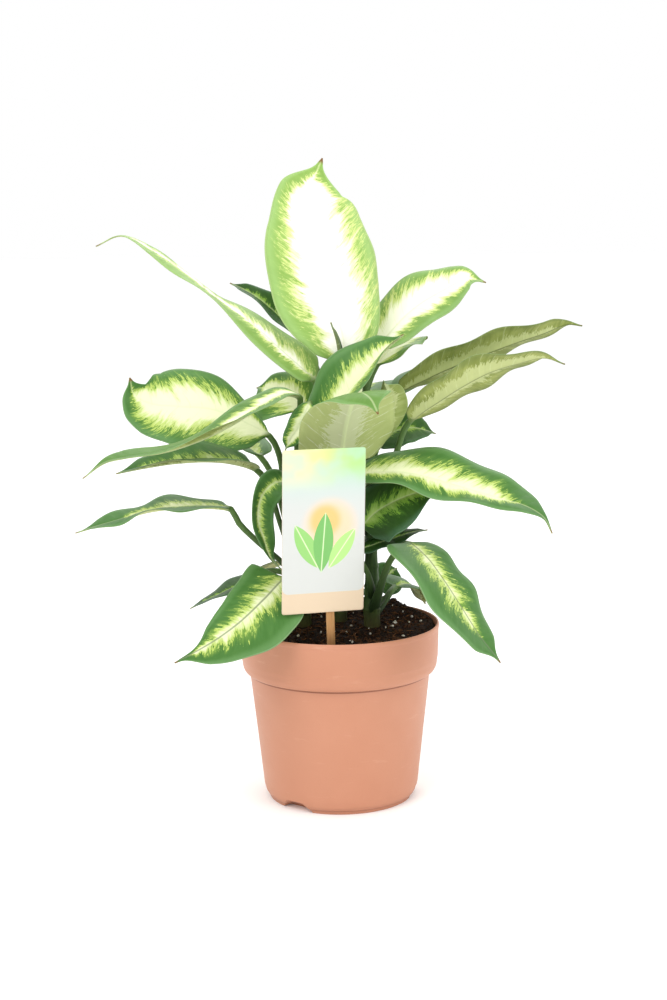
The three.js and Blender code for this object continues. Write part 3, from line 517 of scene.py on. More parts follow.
class LeafSkin(Finish):
    """Cream from the rib outwards, running in fingers and flecks along the side veins into green.

    Lengths are in cm: s along the leaf, x across it and along from vein to vein. t and v are shares of the
    length and of the half width.
    """

    def __init__(self):
        super().__init__("leaf_skin", Specular_IOR_Level=0.17)
        self.t, self.v, self.under = self.attribute("place")
        self.s, self.x, self.blade = self.attribute("span")
        self.cream, self.dark, self.seed = self.attribute("traits")
        self.line, self.speckle, self.lop = self.attribute("trim")
        self.reach, self.pale = self.attribute("extent")[:2]
        self.out = abs(self.v)
        self.away = abs(self.x)
        lean = self.away * VEINS.lean + self.away * self.away * (10 * VEINS.curve)
        sway = self.noise((self.s * 0.5, self.x * 0.6, self.seed * 2.9), 1.0, 1.0)
        self.along = self.s - lean + (sway * 0.6 - 0.3)
        self.side = self.math("SIGN", self.v) * 11.0
        self.jags = self.streaks("jags")
        self.drift = spread(self.noise((self.s * 0.6, self.x * 0.8, self.seed * 5.7), 1.0, 1.0))
        self.tone = self.noise((self.along * 2.4, self.x * 0.9, self.seed), 1.0, 3.0, 0.6)
        self.feather()
        self.crease = self.vein_creases()

    def streaks(self, kind):
        lengthwise, crosswise, shift, detail, rough = STREAKS[kind]
        place = (self.along * lengthwise + self.side, self.away * crosswise, self.seed * shift)
        return spread(self.noise(place, 1.0, detail, rough))

    def shade(self, name):
        """A colour of the skin, eased between a young, a grown and a shaded leaf's: partly painted shade."""
        young, grown, deep = LEAF_COLOURS[name]
        light = self.mix(self.dark.within(0.0, 0.5), young, grown)
        return self.mix(self.dark.within(0.5, 1.0), light, deep)

    def feather(self):
        """How far each spot is past the cream's edge, where the cream and its lime fringe are."""
        by = FEATHERING
        flecks = self.streaks("flecks")
        tip_end = self.t.within(self.reach - 0.2, self.reach, 0.0, 0.7)
        foot_end = self.t.within(0.0, 0.12, 0.3, 0.0)
        broad = self.out + self.streaks("fingers") * by.fingers + self.drift * by.drift + (tip_end + foot_end)
        self.past = broad + self.jags * by.jags - (self.cream - self.lop * self.v)
        density = self.speckle * by.flecks + by.least_flecks
        grit = density * self.past.within(-0.25, 0.05, 0.3, 1.0)
        self.lime = (self.past + flecks * grit).within(-0.02, 0.035, 1.0, 0.0)
        self.heart = (self.past + flecks * 0.1).within(-0.34, -0.02, 1.0, 0.0)

    def vein_creases(self):
        wave = self.math("FRACT", self.along * (10 / VEINS.spacing))
        breaks = self.noise((self.along * 1.1, self.x * 1.3, self.seed))
        return abs(wave - 0.5).within(0.43, 0.5) * breaks.within(0.4, 0.6)

    def green(self):
        green = self.mix(self.tone, self.shade("green"), self.shade("dull_green"))
        near = self.past.within(0.0, 0.34, 1.0, 0.0)
        mottle = self.streaks("mottle").within(-0.1, 0.7)
        green = self.mix(near * mottle * 0.6, green, self.shade("mottle"))
        flush = near * self.jags.within(0.6, -0.4) * (self.speckle * 0.35 + 0.1)
        green = self.mix(flush, green, self.shade("flush"))
        return self.mix(self.out.within(0.72, 0.92) * 0.5, green, self.shade("sheen"))

    def upper_side(self):
        cream = self.mix(self.heart, self.shade("fringe"), self.shade("centre"))
        colour = self.mix(self.lime, self.green(), cream)
        colour = self.mix(self.crease * self.lime * 0.3, colour, self.shade("crease"))
        rib = self.away.within(0.02, 0.09, 1.0, 0.0) * (self.line * 0.5 + 0.3)
        colour = self.mix(rib, colour, self.mix(self.line, "#e3ebbc", "#55684a"))
        colour = self.mix(self.out.within(0.96, 0.99) * 0.5, colour, self.shade("edge"))
        return self.mix(self.t.within(0.968, 0.99), colour, "#7a5a34")

    def lower_side(self):
        olive = self.mix(self.tone, self.shade("olive"), self.shade("dull_olive"))
        blotch = (self.drift + self.jags * 0.6).within(-0.1, 0.5)
        olive = self.mix(blotch * 0.55, olive, self.shade("blotch"))
        olive = self.mix(self.out.within(0.6, 1.0, 0.0, 0.6), olive, self.shade("olive_border"))
        olive = self.mix(self.pale * 0.85, olive, self.mix(self.tone, "#bdc78c", "#a5b26c"))
        heart = self.mix(self.pale, "#cdd49a", "#ccd2ac")
        colour = self.mix(self.lime * (self.dark * -0.5 + 0.9), olive, heart)
        crease = self.crease * (self.pale * 0.15 + 0.3)
        colour = self.mix(crease, colour, self.mix(self.pale, "#d2dbaa", "#eceedd"))
        wide_keel = self.away.within(0.08, 0.18, 1.0, 0.0) * (1.0 - self.line)
        thin_keel = self.away.within(0.03, 0.08, 1.0, 0.0) * self.line
        keel = self.math("MAXIMUM", wide_keel, thin_keel)
        return self.mix(keel * 0.7, colour, self.mix(self.line, "#d3deac", "#4c5a26"))

    def stalk(self):
        grain = self.noise((self.s * 1.2, self.x * 16.0, self.seed), 1.0, 2.0, 0.6)
        colour = self.mix(grain, "#66834a", "#43602f")
        # Painted shade: the stalk darkens towards its cane, inside the plant where shade falls
        return self.mix(self.t.within(-1.0, 0.1, 1.0, 0.0), colour, "#1c2f14")


def leaf_finish():
    f = LeafSkin()
    pores = f.noise((f.along * 16.0, f.x * 9.0, f.seed), 1.0, 2.0, 0.6)
    f.bump(pores * 0.5 + f.crease * -0.5, 0.0002, 0.4)
    blade = f.mix(f.under, f.upper_side(), f.lower_side())
    return f.finish(f.mix(f.blade, f.stalk(), blade), pores * 0.16 + 0.32 + f.under * 0.2)


def cane_finish():
    f = Finish("cane_bark", Specular_IOR_Level=0.2)
    x, y, z = f.split(f.place())
    streaks = f.noise((x * 900.0, y * 900.0, z * 60.0), 1.0, 3.0, 0.6)
    patches = f.noise(f.place(), 90.0, 3.0, 0.6)
    colour = f.mix(streaks, "#233a1a", "#3f5c29")
    colour = f.mix(patches.within(0.45, 0.7, 0.0, 0.8), colour, "#1c3014")
    colour = f.mix(z.within(0.1, 0.125, 0.7, 0.0), colour, "#4a3a22")
    f.bump(streaks, 0.0006, 0.6)
    return f.finish(colour, streaks * 0.3 + 0.35)


def pot_finish():
    """Moulded terracotta-coloured plastic: faint flow marks, a fine grain and a few pale rubs."""
    f = Finish("pot_plastic", Specular_IOR_Level=0.4)
    place = f.place()
    x, y, z = f.split(place)
    clouds = f.noise(place, 22.0, 3.0, 0.55)
    rubs = f.noise((x * 60.0, y * 60.0, z * 340.0), 1.0, 4.0, 0.6)
    grain = f.noise(place, 1800.0, 2.0, 0.6)
    colour = f.mix(clouds, "#c48a6e", "#b97d60")
    colour = f.mix(rubs.within(0.6, 0.8, 0.0, 0.35), colour, "#d2a388")
    colour = f.mix(grain.within(0.62, 0.74, 0.0, 0.25), colour, "#a3684c")
    # Painted shade: darker towards the foot, where the wall turns in above the floor
    colour = f.mix(z.within(0.0, 0.006, 0.35, 0.0), colour, "#9c664b")
    # Painted shade: thin dark lines in the step under the band and round the foot
    for low, high, share in POT_SHADE_LINES:
        above = z.within((low - 0.3) * MM, low * MM)
        below = z.within(high * MM, (high + 0.4) * MM, share, 0.0)
        colour = f.mix(above * below, colour, "#7d4a35")
    f.bump(grain + clouds * 2.0, 0.00012, 0.5)
    return f.finish(colour, clouds * 0.2 + 0.36)


def soil_finish(name, dark, light, scale):
    f = Finish(name, Specular_IOR_Level=0.12)
    place = f.place()
    lumps = f.noise(place, scale, 5.0, 0.65)
    fleck = f.cells(place, 3.0 * scale)
    colour = f.mix(lumps.within(0.35, 0.7), dark, light)
    colour = f.mix(fleck.within(0.0, 0.22, 0.6, 0.0), colour, "#5a3a26")
    f.bump(lumps + fleck * 0.5, 0.0012, 0.9)
    return f.finish(colour, lumps * 0.2 + 0.75)


def wood_finish():
    f = Finish("stake_wood", Specular_IOR_Level=0.3)
    x, y, z = f.split(f.place())
    grain = f.noise((x * 700.0, y * 700.0, z * 14.0), 1.0, 4.0, 0.6)
    fibres = f.noise((x * 3000.0, y * 3000.0, z * 60.0), 1.0, 2.0, 0.6)
    colour = f.mix(grain, "#cba06c", "#a26f3f")
    colour = f.mix(fibres.within(0.55, 0.75, 0.0, 0.5), colour, "#8a5a32")
    colour = f.mix(z.within(0.1, 0.116, 0.45, 0.0), colour, "#5a3a22")
    f.bump(grain + fibres, 0.0003, 0.6)
    return f.finish(colour, grain * 0.2 + 0.6)


# The card's three printed leaf shapes: middle across and up, turn from upright, length, width and colour
PRINTED_LEAVES = (
    (-10.0, 40.0, 28.0, 30.0, 11.0, "#8cc46a"),
    (0.0, 42.0, -4.0, 36.0, 12.0, "#6fb05a"),
    (11.0, 38.0, -34.0, 28.0, 10.0, "#a9d77c"),
)


def card_finish():
    """A printed card: a wash of pastel over a warm sun and three plain leaf shapes, above a kraft strip."""
    f = Finish("card_print", Specular_IOR_Level=0.5, Coat_Weight=0.25, Coat_Roughness=0.2)
    x, z, front = f.attribute("print")
    soft = f.noise((x, z, 0.0), 0.05)
    paper = f.noise((x, z, 0.0), 3.0, 3.0, 0.6)

    def distance(a, b):
        return f.math("SQRT", a * a + b * b)

    def sun(middle_x, middle_z, radius):
        return distance(x - middle_x, z - middle_z).within(radius / 2, radius, 1.0, 0.0)

    def leaf_shape(middle_x, middle_z, turn, length, width):
        """The overlap of two discs, and the line of its rib."""
        c, n = cos(radians(turn)), sin(radians(turn))
        dx, dz = x - middle_x, z - middle_z
        side = abs(dx * c + dz * n)
        radius = (length * length / 4 + width * width / 4) / width
        reach = distance(side + (radius - width / 2), dx * -n + dz * c)
        return reach.within(radius - 0.25, radius, 1.0, 0.0), side.within(0.15, 0.5, 1.0, 0.0)

    colour = f.mix(z.within(58.0, 97.0, 0.0, 0.8), "#c8cac6", "#a3cdc2")
    wash = f.mix(x.within(-22.0, 22.0), "#f3ef9a", "#a8d672")
    colour = f.mix(z.within(70.0, 92.0) * soft.within(0.35, 0.6, 0.35, 0.95), colour, wash)
    colour = f.mix(sun(4.0, 52.0, 19.0) * 0.75, colour, "#f2c79a")
    colour = f.mix(sun(1.0, 55.0, 12.0) * 0.8, colour, "#e8b45e")
    for *where, code in PRINTED_LEAVES:
        shape, rib = leaf_shape(*where)
        colour = f.mix(shape, colour, f.mix(rib * 0.7, code, "#e9f6c8"))
    past_side = f.math("MAXIMUM", abs(x) - (CARD.width / 2 - CARD.print_corner), 0.0)
    past_foot = f.math("MAXIMUM", (CARD.print_foot + CARD.print_corner) - z, 0.0)
    kraft = distance(past_side, past_foot).within(CARD.print_corner - 0.2, CARD.print_corner)
    colour = f.mix(kraft, colour, f.mix(paper, "#dcc8ae", "#cdb594"))
    f.bump(paper, 0.00005, 0.4)
    return f.finish(f.mix(front, "#c9c8c3", colour), paper * 0.15 + 0.32)


def floor_finish():
    f = Finish("studio_floor", Specular_IOR_Level=0.1, Emission_Strength=0.05)
    return f.finish(f.mix(f.noise(f.place(), 3.0), "#fafafa", "#fdfdfd"), 0.9)


# The leaves' form

def spline(points, u):
    """Places and directions on a centripetal spline through the points, at parameters from 0 to 1."""
    points = np.asarray(points, float)
    padded = np.vstack([2 * points[0] - points[1], points, 2 * points[-1] - points[-2]])
    position = np.clip(u, 0, 1) * (len(points) - 1)
    i = np.minimum(position.astype(int), len(points) - 2)
    w = (position - i)[:, None]
    p0, p1, p2, p3 = (padded[i + k] for k in range(4))
    gaps = ((p0, p1), (p1, p2), (p2, p3))
    d0, d1, d2 = (np.sqrt(np.linalg.norm(b - a, axis=1))[:, None] for a, b in gaps)
    m1 = ((p1 - p0) / d0 - (p2 - p0) / (d0 + d1) + (p2 - p1) / d1) * d1
    m2 = ((p2 - p1) / d1 - (p3 - p1) / (d1 + d2) + (p3 - p2) / d2) * d1
    c2 = -3 * p1 + 3 * p2 - 2 * m1 - m2
    c3 = 2 * p1 - 2 * p2 + m1 + m2
    return p1 + (m1 + (c2 + c3 * w) * w) * w, unit(m1 + (2 * c2 + 3 * c3 * w) * w)


def stations(points, start, end, shares):
    """Places and directions at shares of the spline's length between two parameters, and that length."""
    u = np.linspace(start, end, 600)
    places, _ = spline(points, u)
    lengths = np.concatenate([[0], np.cumsum(np.linalg.norm(np.diff(places, axis=0), axis=1))])
    return (*spline(points, np.interp(shares * lengths[-1], lengths, u)), lengths[-1])


def outline(t, bias):
    """A side's width along the blade, 1 at its widest."""
    at = t ** bias
    return np.sqrt(at) * (1 - at) ** 0.7 / 0.4423 * (1 - 0.72 * smooth(at, 0.85, 0.97))


def eased(values, t):
    foot, middle, tip = values
    return np.where(t < 0.5, lerp(foot, middle, smooth(t, 0, 0.5)), lerp(middle, tip, smooth(t, 0.5, 1)))


def leaf_course(leaf):
    """For each ring of a leaf its place, its ways across and up, how far it is along the blade and along
    the stalk, as shares, and how far it is from the blade's foot. Last comes the blade's length."""
    x, y, _ = CANES[leaf.cane]
    points = [(x, y, leaf.height), *leaf.stalk, *leaf.rib]
    split = (1 + len(leaf.stalk)) / (len(points) - 1)
    foot, tip = np.array(leaf.rib[0], float), np.array(leaf.rib[-1], float)
    heading = leaf.heading or (tip - foot)[:2]
    left = unit(np.array([-heading[1], heading[0], 0.0]))

    stalk_shares = np.linspace(0, 1, RINGS.stalk, endpoint=False)
    even = np.linspace(0, 1, RINGS.blade)
    blade_shares = even - RINGS.gather * sin(2 * pi * even)
    stalk_places, stalk_ways, stalk_length = stations(points, 0, split, stalk_shares)
    blade_places, blade_ways, blade_length = stations(points, split, 1, blade_shares)
    place, along = np.vstack([stalk_places, blade_places]), np.vstack([stalk_ways, blade_ways])
    t = np.concatenate([np.zeros(RINGS.stalk), blade_shares])
    stalk = np.concatenate([stalk_shares, np.ones(RINGS.blade)])

    side = unit(left - along * (along @ left)[:, None])
    up = np.cross(along, side)
    roll = (radians(eased(leaf.roll, t)) * smooth(stalk, 0.3, 1))[:, None]
    across_way = side * cos(roll) + up * sin(roll)
    up_way = up * cos(roll) - side * sin(roll)
    arc = t * blade_length + (stalk - 1) * stalk_length
    by_ring = (place, across_way, up_way, t, stalk, arc)
    return [values[:, None] for values in by_ring] + [blade_length]


def stalk_form(stalk, radius, u):
    """Across, above on the upper and on the under side, and round the stalk. Its foot is a sheath, with
    low wings beside a channel."""
    sheath = 1 - smooth(stalk, 0.35, 0.9)
    angle = radians(90 - STALK.side_arc * u)
    across = radius * cos(angle) * (1 + STALK.sheath_spread * sheath)
    above = radius * sin(angle)
    channel = 1 - STALK.channel * sheath * bell(u, 0.5)
    return across, above * channel, -above, radius * (angle - pi / 2)


def blade_form(leaf, seed, t, v, radius, length):
    """Across, and above on the upper and on the under side. The side veins lie between low swellings, and
    the rib is a groove above and a keel below."""
    share = np.abs(v)
    sides = [portion * outline(t, bias) for portion, bias in zip(leaf.halves, leaf.bias)]
    ripple = 1 + BLADE.ripple * sin(23 * t + 9 * seed) * np.sign(v)
    half = np.maximum(BLADE.tip_half_width, leaf.width / 2 * np.where(v > 0, *sides)) * ripple
    away = share * half
    slope = radians(lerp(*leaf.fold, share / 2))
    across = v * half * cos(slope)

    height, count, phase = leaf.wave
    shift = np.where(v > 0, 0.0, BLADE.right_shift)
    wave = height * share ** 2 * sin(2 * pi * count * t + phase + shift) * sin(pi * t)
    veins = (t * length - VEINS.lean * away - VEINS.curve * away * away) / VEINS.spacing
    swelling = np.abs(sin(pi * veins)) ** 0.6 - 0.6
    reach = smooth(away, 0.8, 4.0) * smooth(share, 1.0, 0.8) * smooth(t, 0.02, 0.1)
    above = away * sin(slope) + wave + VEINS.relief * swelling * reach

    rib = lerp(radius, BLADE.rib_depth, smooth(t, 0, 0.4)) * (1 - 0.75 * smooth(t, 0.4, 1))
    keel = rib * bell(across, 0.9 + 0.6 * rib)
    groove = BLADE.groove * bell(across, 1.1) * smooth(t, 0.03, 0.12) * (1 - 0.6 * t)
    thickness = BLADE.thickness * (1 - 0.5 * share ** 3)
    return across, above + (thickness / 2 - groove), above - (thickness / 2 + keel)


def leaf_skin(leaf, seed):
    """The corners of a leaf's rings, with where each lies on the leaf, for its colouring."""
    place, across_way, up_way, t, stalk, arc, length = leaf_course(leaf)
    u = np.linspace(-1, 1, RINGS.across)
    v = np.sign(u) * np.abs(u) ** RINGS.crowd
    radius = np.minimum(lerp(STALK.foot_radius, STALK.radius, smooth(stalk, 0, 0.5)), leaf.width / 4)
    round_across, *round_sides, girth = stalk_form(stalk, radius, u)
    flat_across, *flat_sides = blade_form(leaf, seed, t, v, radius, length)
    blade = smooth(t, 0, BLADE.fade_in)
    across = lerp(round_across, flat_across, blade)[..., None]
    skin = []
    for under in (0, 1):
        above = lerp(round_sides[under], flat_sides[under], blade)[..., None]
        corners = place + across * across_way + above * up_way
        spots = threes(t + (stalk - 1), v, under)
        spans = threes(arc / 10, lerp(girth, flat_across, blade) / 10, blade)
        onwards = -1 if under else 1
        skin.append([values[:, ::onwards] for values in (corners, spots, spans)])
    return [np.concatenate(sides, axis=1).reshape(-1, 3) for sides in zip(*skin)]


def add_leaves(material):
    for index, (name, leaf) in enumerate(LEAVES.items()):
        corners, spots, spans = leaf_skin(leaf, index)
        count = len(corners)
        attributes = {
            "place": spots,
            "span": spans,
            "traits": [(leaf.cream, leaf.dark, index + 1.0)] * count,
            "trim": [(leaf.line, leaf.speckle, leaf.lop)] * count,
            "extent": [(leaf.reach, leaf.pale, 0.0)] * count,
        }
        faces = tube_faces(RINGS.stalk + RINGS.blade, 2 * RINGS.across)
        add_piece(f"{name}_leaf", corners, faces, material, [f"leaf_{name}"], attributes)


# The pot

def turned(profile, sides, centre=(0.0, 0.0), bend=None):
    """A form turned from a profile of (radius, height), which starts and ends on the axis."""
    angles = np.linspace(0, 2 * pi, sides, endpoint=False)
    r, z = np.array(profile[1:-1], float).T[..., None]
    if bend:
        r, z = bend(r, z, angles)
    x, y = centre
    rings = threes(x + r * cos(angles), y + r * sin(angles), z)
    return closed_form((x, y, profile[0][1]), rings, (x, y, profile[-1][1]))


def rounded(profile, radius, steps):
    """A profile with each inner corner replaced by a short curve."""
    points = [np.array(p, float) for p in profile]
    result = [points[0]]
    for before, here, after in zip(points, points[1:-1], points[2:]):
        a, b = before - here, after - here
        reach = min(radius, 0.4 * np.linalg.norm(a), 0.4 * np.linalg.norm(b))
        start, end = here + reach * unit(a), here + reach * unit(b)
        for w in np.linspace(0, 1, steps + 1):
            result.append((1 - w) ** 2 * start + 2 * w * (1 - w) * here + w * w * end)
    return [*result, points[-1]]


def pot_inside(z):
    """The inner wall's radius at a height."""
    share = np.clip((z - POT.corner) / (POT.band_turn - POT.corner), None, 1)
    wall = lerp(POT.wall_foot, POT.wall_top, share) - POT.wall
    band = POT.rim - POT.band_inset - POT.wall + POT.band_slack
    return lerp(wall, band, smooth(z, POT.band_turn - 1, POT.band_foot))


def pot_profile():
    """Up the outside from under the foot to the rim, then down the inside to the middle of the floor."""
    foot, wall_foot, wall_top, turn = POT.foot, POT.wall_foot, POT.wall_top, POT.band_turn
    rim, height, band = POT.rim, POT.height, POT.band_foot
    wall = [
        (0, 0.0), (foot - 3.4, 0.0), (foot, 0.0), (foot + 0.1, POT.foot_height - 0.2),
        (foot + 0.9, POT.foot_height), (wall_foot - 0.9, 2 * POT.foot_height), (wall_foot, POT.corner),
        ((wall_foot + wall_top) / 2, (POT.corner + turn) / 2), (wall_top, turn - POT.band_step),
        (wall_top + 0.05, turn - 0.1),
    ]
    under_band = []
    for a in radians([90, 72, 54, 36, 18, 0]):
        r = lerp(rim - POT.band_inset, wall_top + POT.band_step, 1 - cos(a))
        under_band.append((r, lerp(band + 0.5, turn, sin(a))))
    lip = [
        (rim - 0.75, band + 3.0), (rim - 0.45, height - 12.0), (rim - 0.25, height - 3.2),
        (rim, height - 2.6), (rim, height - 0.8), (rim - 0.4, height), (rim - POT.wall, height - 0.3),
    ]
    inside = [(pot_inside(z), z) for z in (band, turn - 1, POT.corner_top)]
    return [*wall, *under_band, *lip, *inside, (POT.floor_radius, POT.floor), (0, POT.floor)]


def foot_gap(angle):
    """One gap in the foot's edge: a wedge between two arches, of which the inner one is lower."""
    half, top = FOOT_GAPS.width / 2, FOOT_GAPS.top_width / 2
    arch = [(-half, -1.0, 0.0), (half, -1.0, 0.0)]
    for w in np.linspace(0.125, 1, 8):
        side = (1 - w) ** 2 * half + 2 * w * (1 - w) * (top + 1) + w * w * (top - 1)
        arch.append((side, -(1 - w) ** 2, 2 * w * (1 - w) + w * w))
    arch += [(-side, low, share) for side, low, share in reversed(arch[2:])]
    side, low, share = np.array(arch).T
    c, n = cos(angle), sin(angle)
    corners = [threes(reach * c - side * n, reach * n + side * c, low + share * rise)
               for reach, rise in (FOOT_GAPS.inner, FOOT_GAPS.outer)]
    return np.vstack(corners), [face[::-1] for face in tube_faces(2, len(arch))]


def cut(piece, cutters):
    """Takes forms, each given as corners and faces, out of a piece."""
    tools = [new_form(f"cutter_{i}", *form) for i, form in enumerate(cutters)]
    for tool in tools:
        modifier = piece.modifiers.new(tool.name, "BOOLEAN")
        modifier.operation = "DIFFERENCE"
        modifier.solver = "EXACT"
        modifier.object = tool
    bpy.context.view_layer.update()
    whole = piece.evaluated_get(bpy.context.evaluated_depsgraph_get())
    piece.data = bpy.data.meshes.new_from_object(whole)
    piece.modifiers.clear()
    for tool in tools:
        bpy.data.objects.remove(tool)


def all_round(kind):
    """The angles of things that stand in equal steps round the axis."""
    return radians(kind.first + 360 / kind.count * np.arange(kind.count))


def add_pot(material):
    corners, faces = turned(rounded(pot_profile(), POT.edge, 3), POT.sides)
    piece = add_piece("moulded_pot", corners, faces, material, ["pot"])
    cutters = [foot_gap(angle) for angle in all_round(FOOT_GAPS)]
    foot, top = DRAIN.foot, DRAIN.top
    rod = [(0, foot), (DRAIN.radius, foot), (DRAIN.radius, top), (0, top)]
    for angle in all_round(DRAIN):
        centre = (DRAIN.ring * cos(angle), DRAIN.ring * sin(angle))
        cutters.append(turned(rod, DRAIN.sides, centre))
    cut(piece, cutters)
    mesh = piece.data
    mesh.polygons.foreach_set("use_smooth", [True] * len(mesh.polygons))
    mesh.set_sharp_from_angle(angle=radians(POT.sharp_angle))


# The potting mix

def soil_top(r, angle):
    """The mix's height at a radius and an angle from the front."""
    out = r / pot_inside(SOIL.level)
    back = -SOIL.back_rise * out * cos(angle)
    waves = sin(3 * angle + 7 * out) + 0.7 * sin(7 * angle - 11 * out)
    lumps = SOIL.lump * waves * np.minimum(1, 2 * out)
    heaped = SOIL.heap * np.clip(cos(angle - SOIL.heap_at), 0, 1)
    heap = heaped * smooth(out, 0.4, 0.8) * (1 - 0.3 * smooth(out, 0.92, 1.0))
    return SOIL.level + SOIL.crown * (1 - out * out) + back + lumps + heap


def scattered(rng, count, reach):
    """Places on the mix's top, clear of the canes and the stake."""
    spots = []
    while len(spots) < count:
        r, angle = reach * np.sqrt(rng.random()), rng.uniform(0, 2 * pi)
        x, y = r * sin(angle), -r * cos(angle)
        clear = all(np.hypot(x - cx, y - cy) > CANE.radius + SOIL.cane_gap for cx, cy, _ in CANES.values())
        if clear and np.hypot(x - TAG.x, y - TAG.y) > SOIL.stake_gap:
            spots.append((x, y, soil_top(r, angle)))
    return np.array(spots)


def ball():
    """The corners of a ball of twenty equal triangles, and the triangles, each turned outwards."""
    golden = (1 + 5 ** 0.5) / 2
    pairs = [(a, b) for a in (-1, 1) for b in (-golden, golden)]
    corners = np.array([(a, b, 0) for a, b in pairs] + [(0, a, b) for a, b in pairs] +
                       [(b, 0, a) for a, b in pairs])
    edge = 2.0
    faces = []
    for i, j, k in combinations(range(len(corners)), 3):
        a, b, c = corners[[i, j, k]]
        if max(np.linalg.norm(q - p) for p, q in ((a, b), (b, c), (c, a))) < 1.05 * edge:
            outwards = np.cross(b - a, c - a) @ a > 0
            faces.append([i, j, k] if outwards else [i, k, j])
    return unit(corners), faces


BALL, BALL_FACES = ball()


def blobs(rng, spots, sizes, squash):
    """Small irregular lumps as one mesh: each a ball pulled out of shape."""
    corners, faces = [], []
    for spot, size in zip(spots, sizes):
        stretch = rng.uniform(0.6, 1.3, 3) * (1, 1, squash)
        turn = np.array(Euler(rng.uniform(0, 2 * pi, 3)).to_matrix())
        lump = (BALL * rng.uniform(0.75, 1.2, (len(BALL), 1)) * stretch) @ turn.T * size
        faces += [[len(corners) + k for k in face] for face in BALL_FACES]
        corners.extend(lump + spot)
    return corners, faces


def add_mass(rng, edge, material):
    angles = np.linspace(0, 2 * pi, SOIL.sides, endpoint=False)
    waves = [(rng.uniform(0.25, 1.1, 2) * rng.choice([-1, 1], 2), rng.uniform(0, 6.28))
             for _ in range(SOIL.ripples)]
    base = POT.floor + SOIL.clearance
    low = [(POT.floor_radius - SOIL.clearance, base)]
    for z in (POT.corner_top + SOIL.clearance, POT.band_turn - 1, POT.band_foot):
        low.append((pot_inside(z) - SOIL.clearance, z))
    rings = [threes(r * sin(angles), -r * cos(angles), z) for r, z in low]
    for share in np.arange(SOIL.rings, 0, -1) / SOIL.rings:
        r = edge * share
        x, y = r * sin(angles), -r * cos(angles)
        rough = sum(sin(kx * x + ky * y + phase) for (kx, ky), phase in waves) * 2 / SOIL.ripples
        z = soil_top(r, angles) + SOIL.ripple * rough * min(1, 3 * (1 - share) + 0.3)
        rings.append(threes(x, y, z))
    corners, faces = closed_form((0, 0, base), rings, (0, 0, soil_top(0, 0)))
    add_piece("mix_mass", corners, faces, material, ["potting_mix"])


def add_crumbs(rng, edge, material):
    spots = scattered(rng, CRUMBS.count, edge - CRUMBS.margin) + (0, 0, CRUMBS.rise)
    sizes = rng.choice(CRUMBS.sizes, CRUMBS.count, p=CRUMBS.shares)
    corners, faces = blobs(rng, spots, sizes, CRUMBS.squash)
    add_piece("mix_crumbs", corners, faces, material, sharp=True)


def add_perlite(rng, edge, material):
    spots = scattered(rng, PERLITE.count, edge - PERLITE.margin) + (0, 0, PERLITE.rise)
    sizes = rng.uniform(*PERLITE.sizes, PERLITE.count)
    corners, faces = blobs(rng, spots, sizes, PERLITE.squash)
    add_piece("mix_perlite", corners, faces, material, sharp=True)


def fibre(rng, spot):
    """The corners round a short flat root, which bends a little and lies over a place."""
    length, girth = rng.uniform(3, 9), rng.uniform(0.12, 0.28)
    heading, lift, bow = rng.uniform(0, 6.28), rng.uniform(-0.05, 0.25), rng.uniform(-0.25, 0.25)
    shares = np.linspace(-0.5, 0.5, FIBRES.joints)
    course = heading + bow * shares * 4
    rise = lift * length * shares + FIBRES.rise - FIBRES.sag * shares ** 2
    line = threes(length * shares * cos(course), length * shares * sin(course), rise) + spot
    way = unit(np.gradient(line, axis=0))
    flat = unit(np.cross(way, (0, 0, 1)))
    above = np.cross(flat, way)
    turn = np.linspace(0, 2 * pi, FIBRES.sides, endpoint=False)[:, None]
    out = FIBRES.width * cos(turn) * flat[:, None] + FIBRES.thickness * sin(turn) * above[:, None]
    return (line[:, None] + girth * out).reshape(-1, 3)


def add_fibres(rng, edge, material):
    corners, faces = [], []
    for spot in scattered(rng, FIBRES.count, edge - FIBRES.margin):
        faces += tube_faces(FIBRES.joints, FIBRES.sides, len(corners))
        corners.extend(fibre(rng, spot))
    add_piece("mix_fibres", corners, faces, material)


def add_soil(rng):
    edge = pot_inside(SOIL.level) - SOIL.clearance
    add_mass(rng, edge, soil_finish("mix_peat", "#110a06", "#2b1a10", 260.0))
    add_crumbs(rng, edge, soil_finish("mix_crumb", "#1a0f09", "#52341f", 420.0))
    add_perlite(rng, edge, soil_finish("mix_perlite", "#b9b4a8", "#dedbd2", 500.0))
    add_fibres(rng, edge, soil_finish("mix_fibre", "#472b19", "#7d5330", 300.0))


# The canes

def add_canes(material):
    level, end = SOIL.level, CANE.top_radius
    foot = level - CANE.depth
    for name, (x, y, top) in CANES.items():
        heights = np.arange(level + CANE.first_ring, top - CANE.last_ring, CANE.step)
        near = (heights - level) % CANE.pitch
        ring = CANE.ring_height * bell(np.minimum(near, CANE.pitch - near), CANE.ring_width)
        waist = CANE.waist * sin(pi * near / CANE.pitch)
        radii = lerp(CANE.radius, end, smooth(heights, level, top)) + ring - waist
        tip = [(end, top - CANE.tip), (end / 2, top), (0, top)]
        profile = [(0, foot), (CANE.radius, foot), *zip(radii, heights), *tip]

        def bend(r, z, angle):
            lumps = 0.14 * sin(3 * angle + 0.21 * z + x + y) + 0.1 * sin(7 * angle - 0.13 * z)
            return r + lumps, z + 0.9 * sin(angle + 0.08 * z) * smooth(z, level, level + 9)

        corners, faces = turned(profile, CANE.sides, (x, y), bend)
        add_piece(f"{name}_cane", corners, faces, material, [f"cane_{name}"])


# The tag

def tag_places(corners):
    """From the tag's own frame to the plant's."""
    turn = Euler((radians(TAG.forward), 0, radians(TAG.turn)), "XYZ").to_matrix()
    return np.asarray(corners, float) @ np.array(turn).T + (TAG.x, TAG.y, SOIL.level)


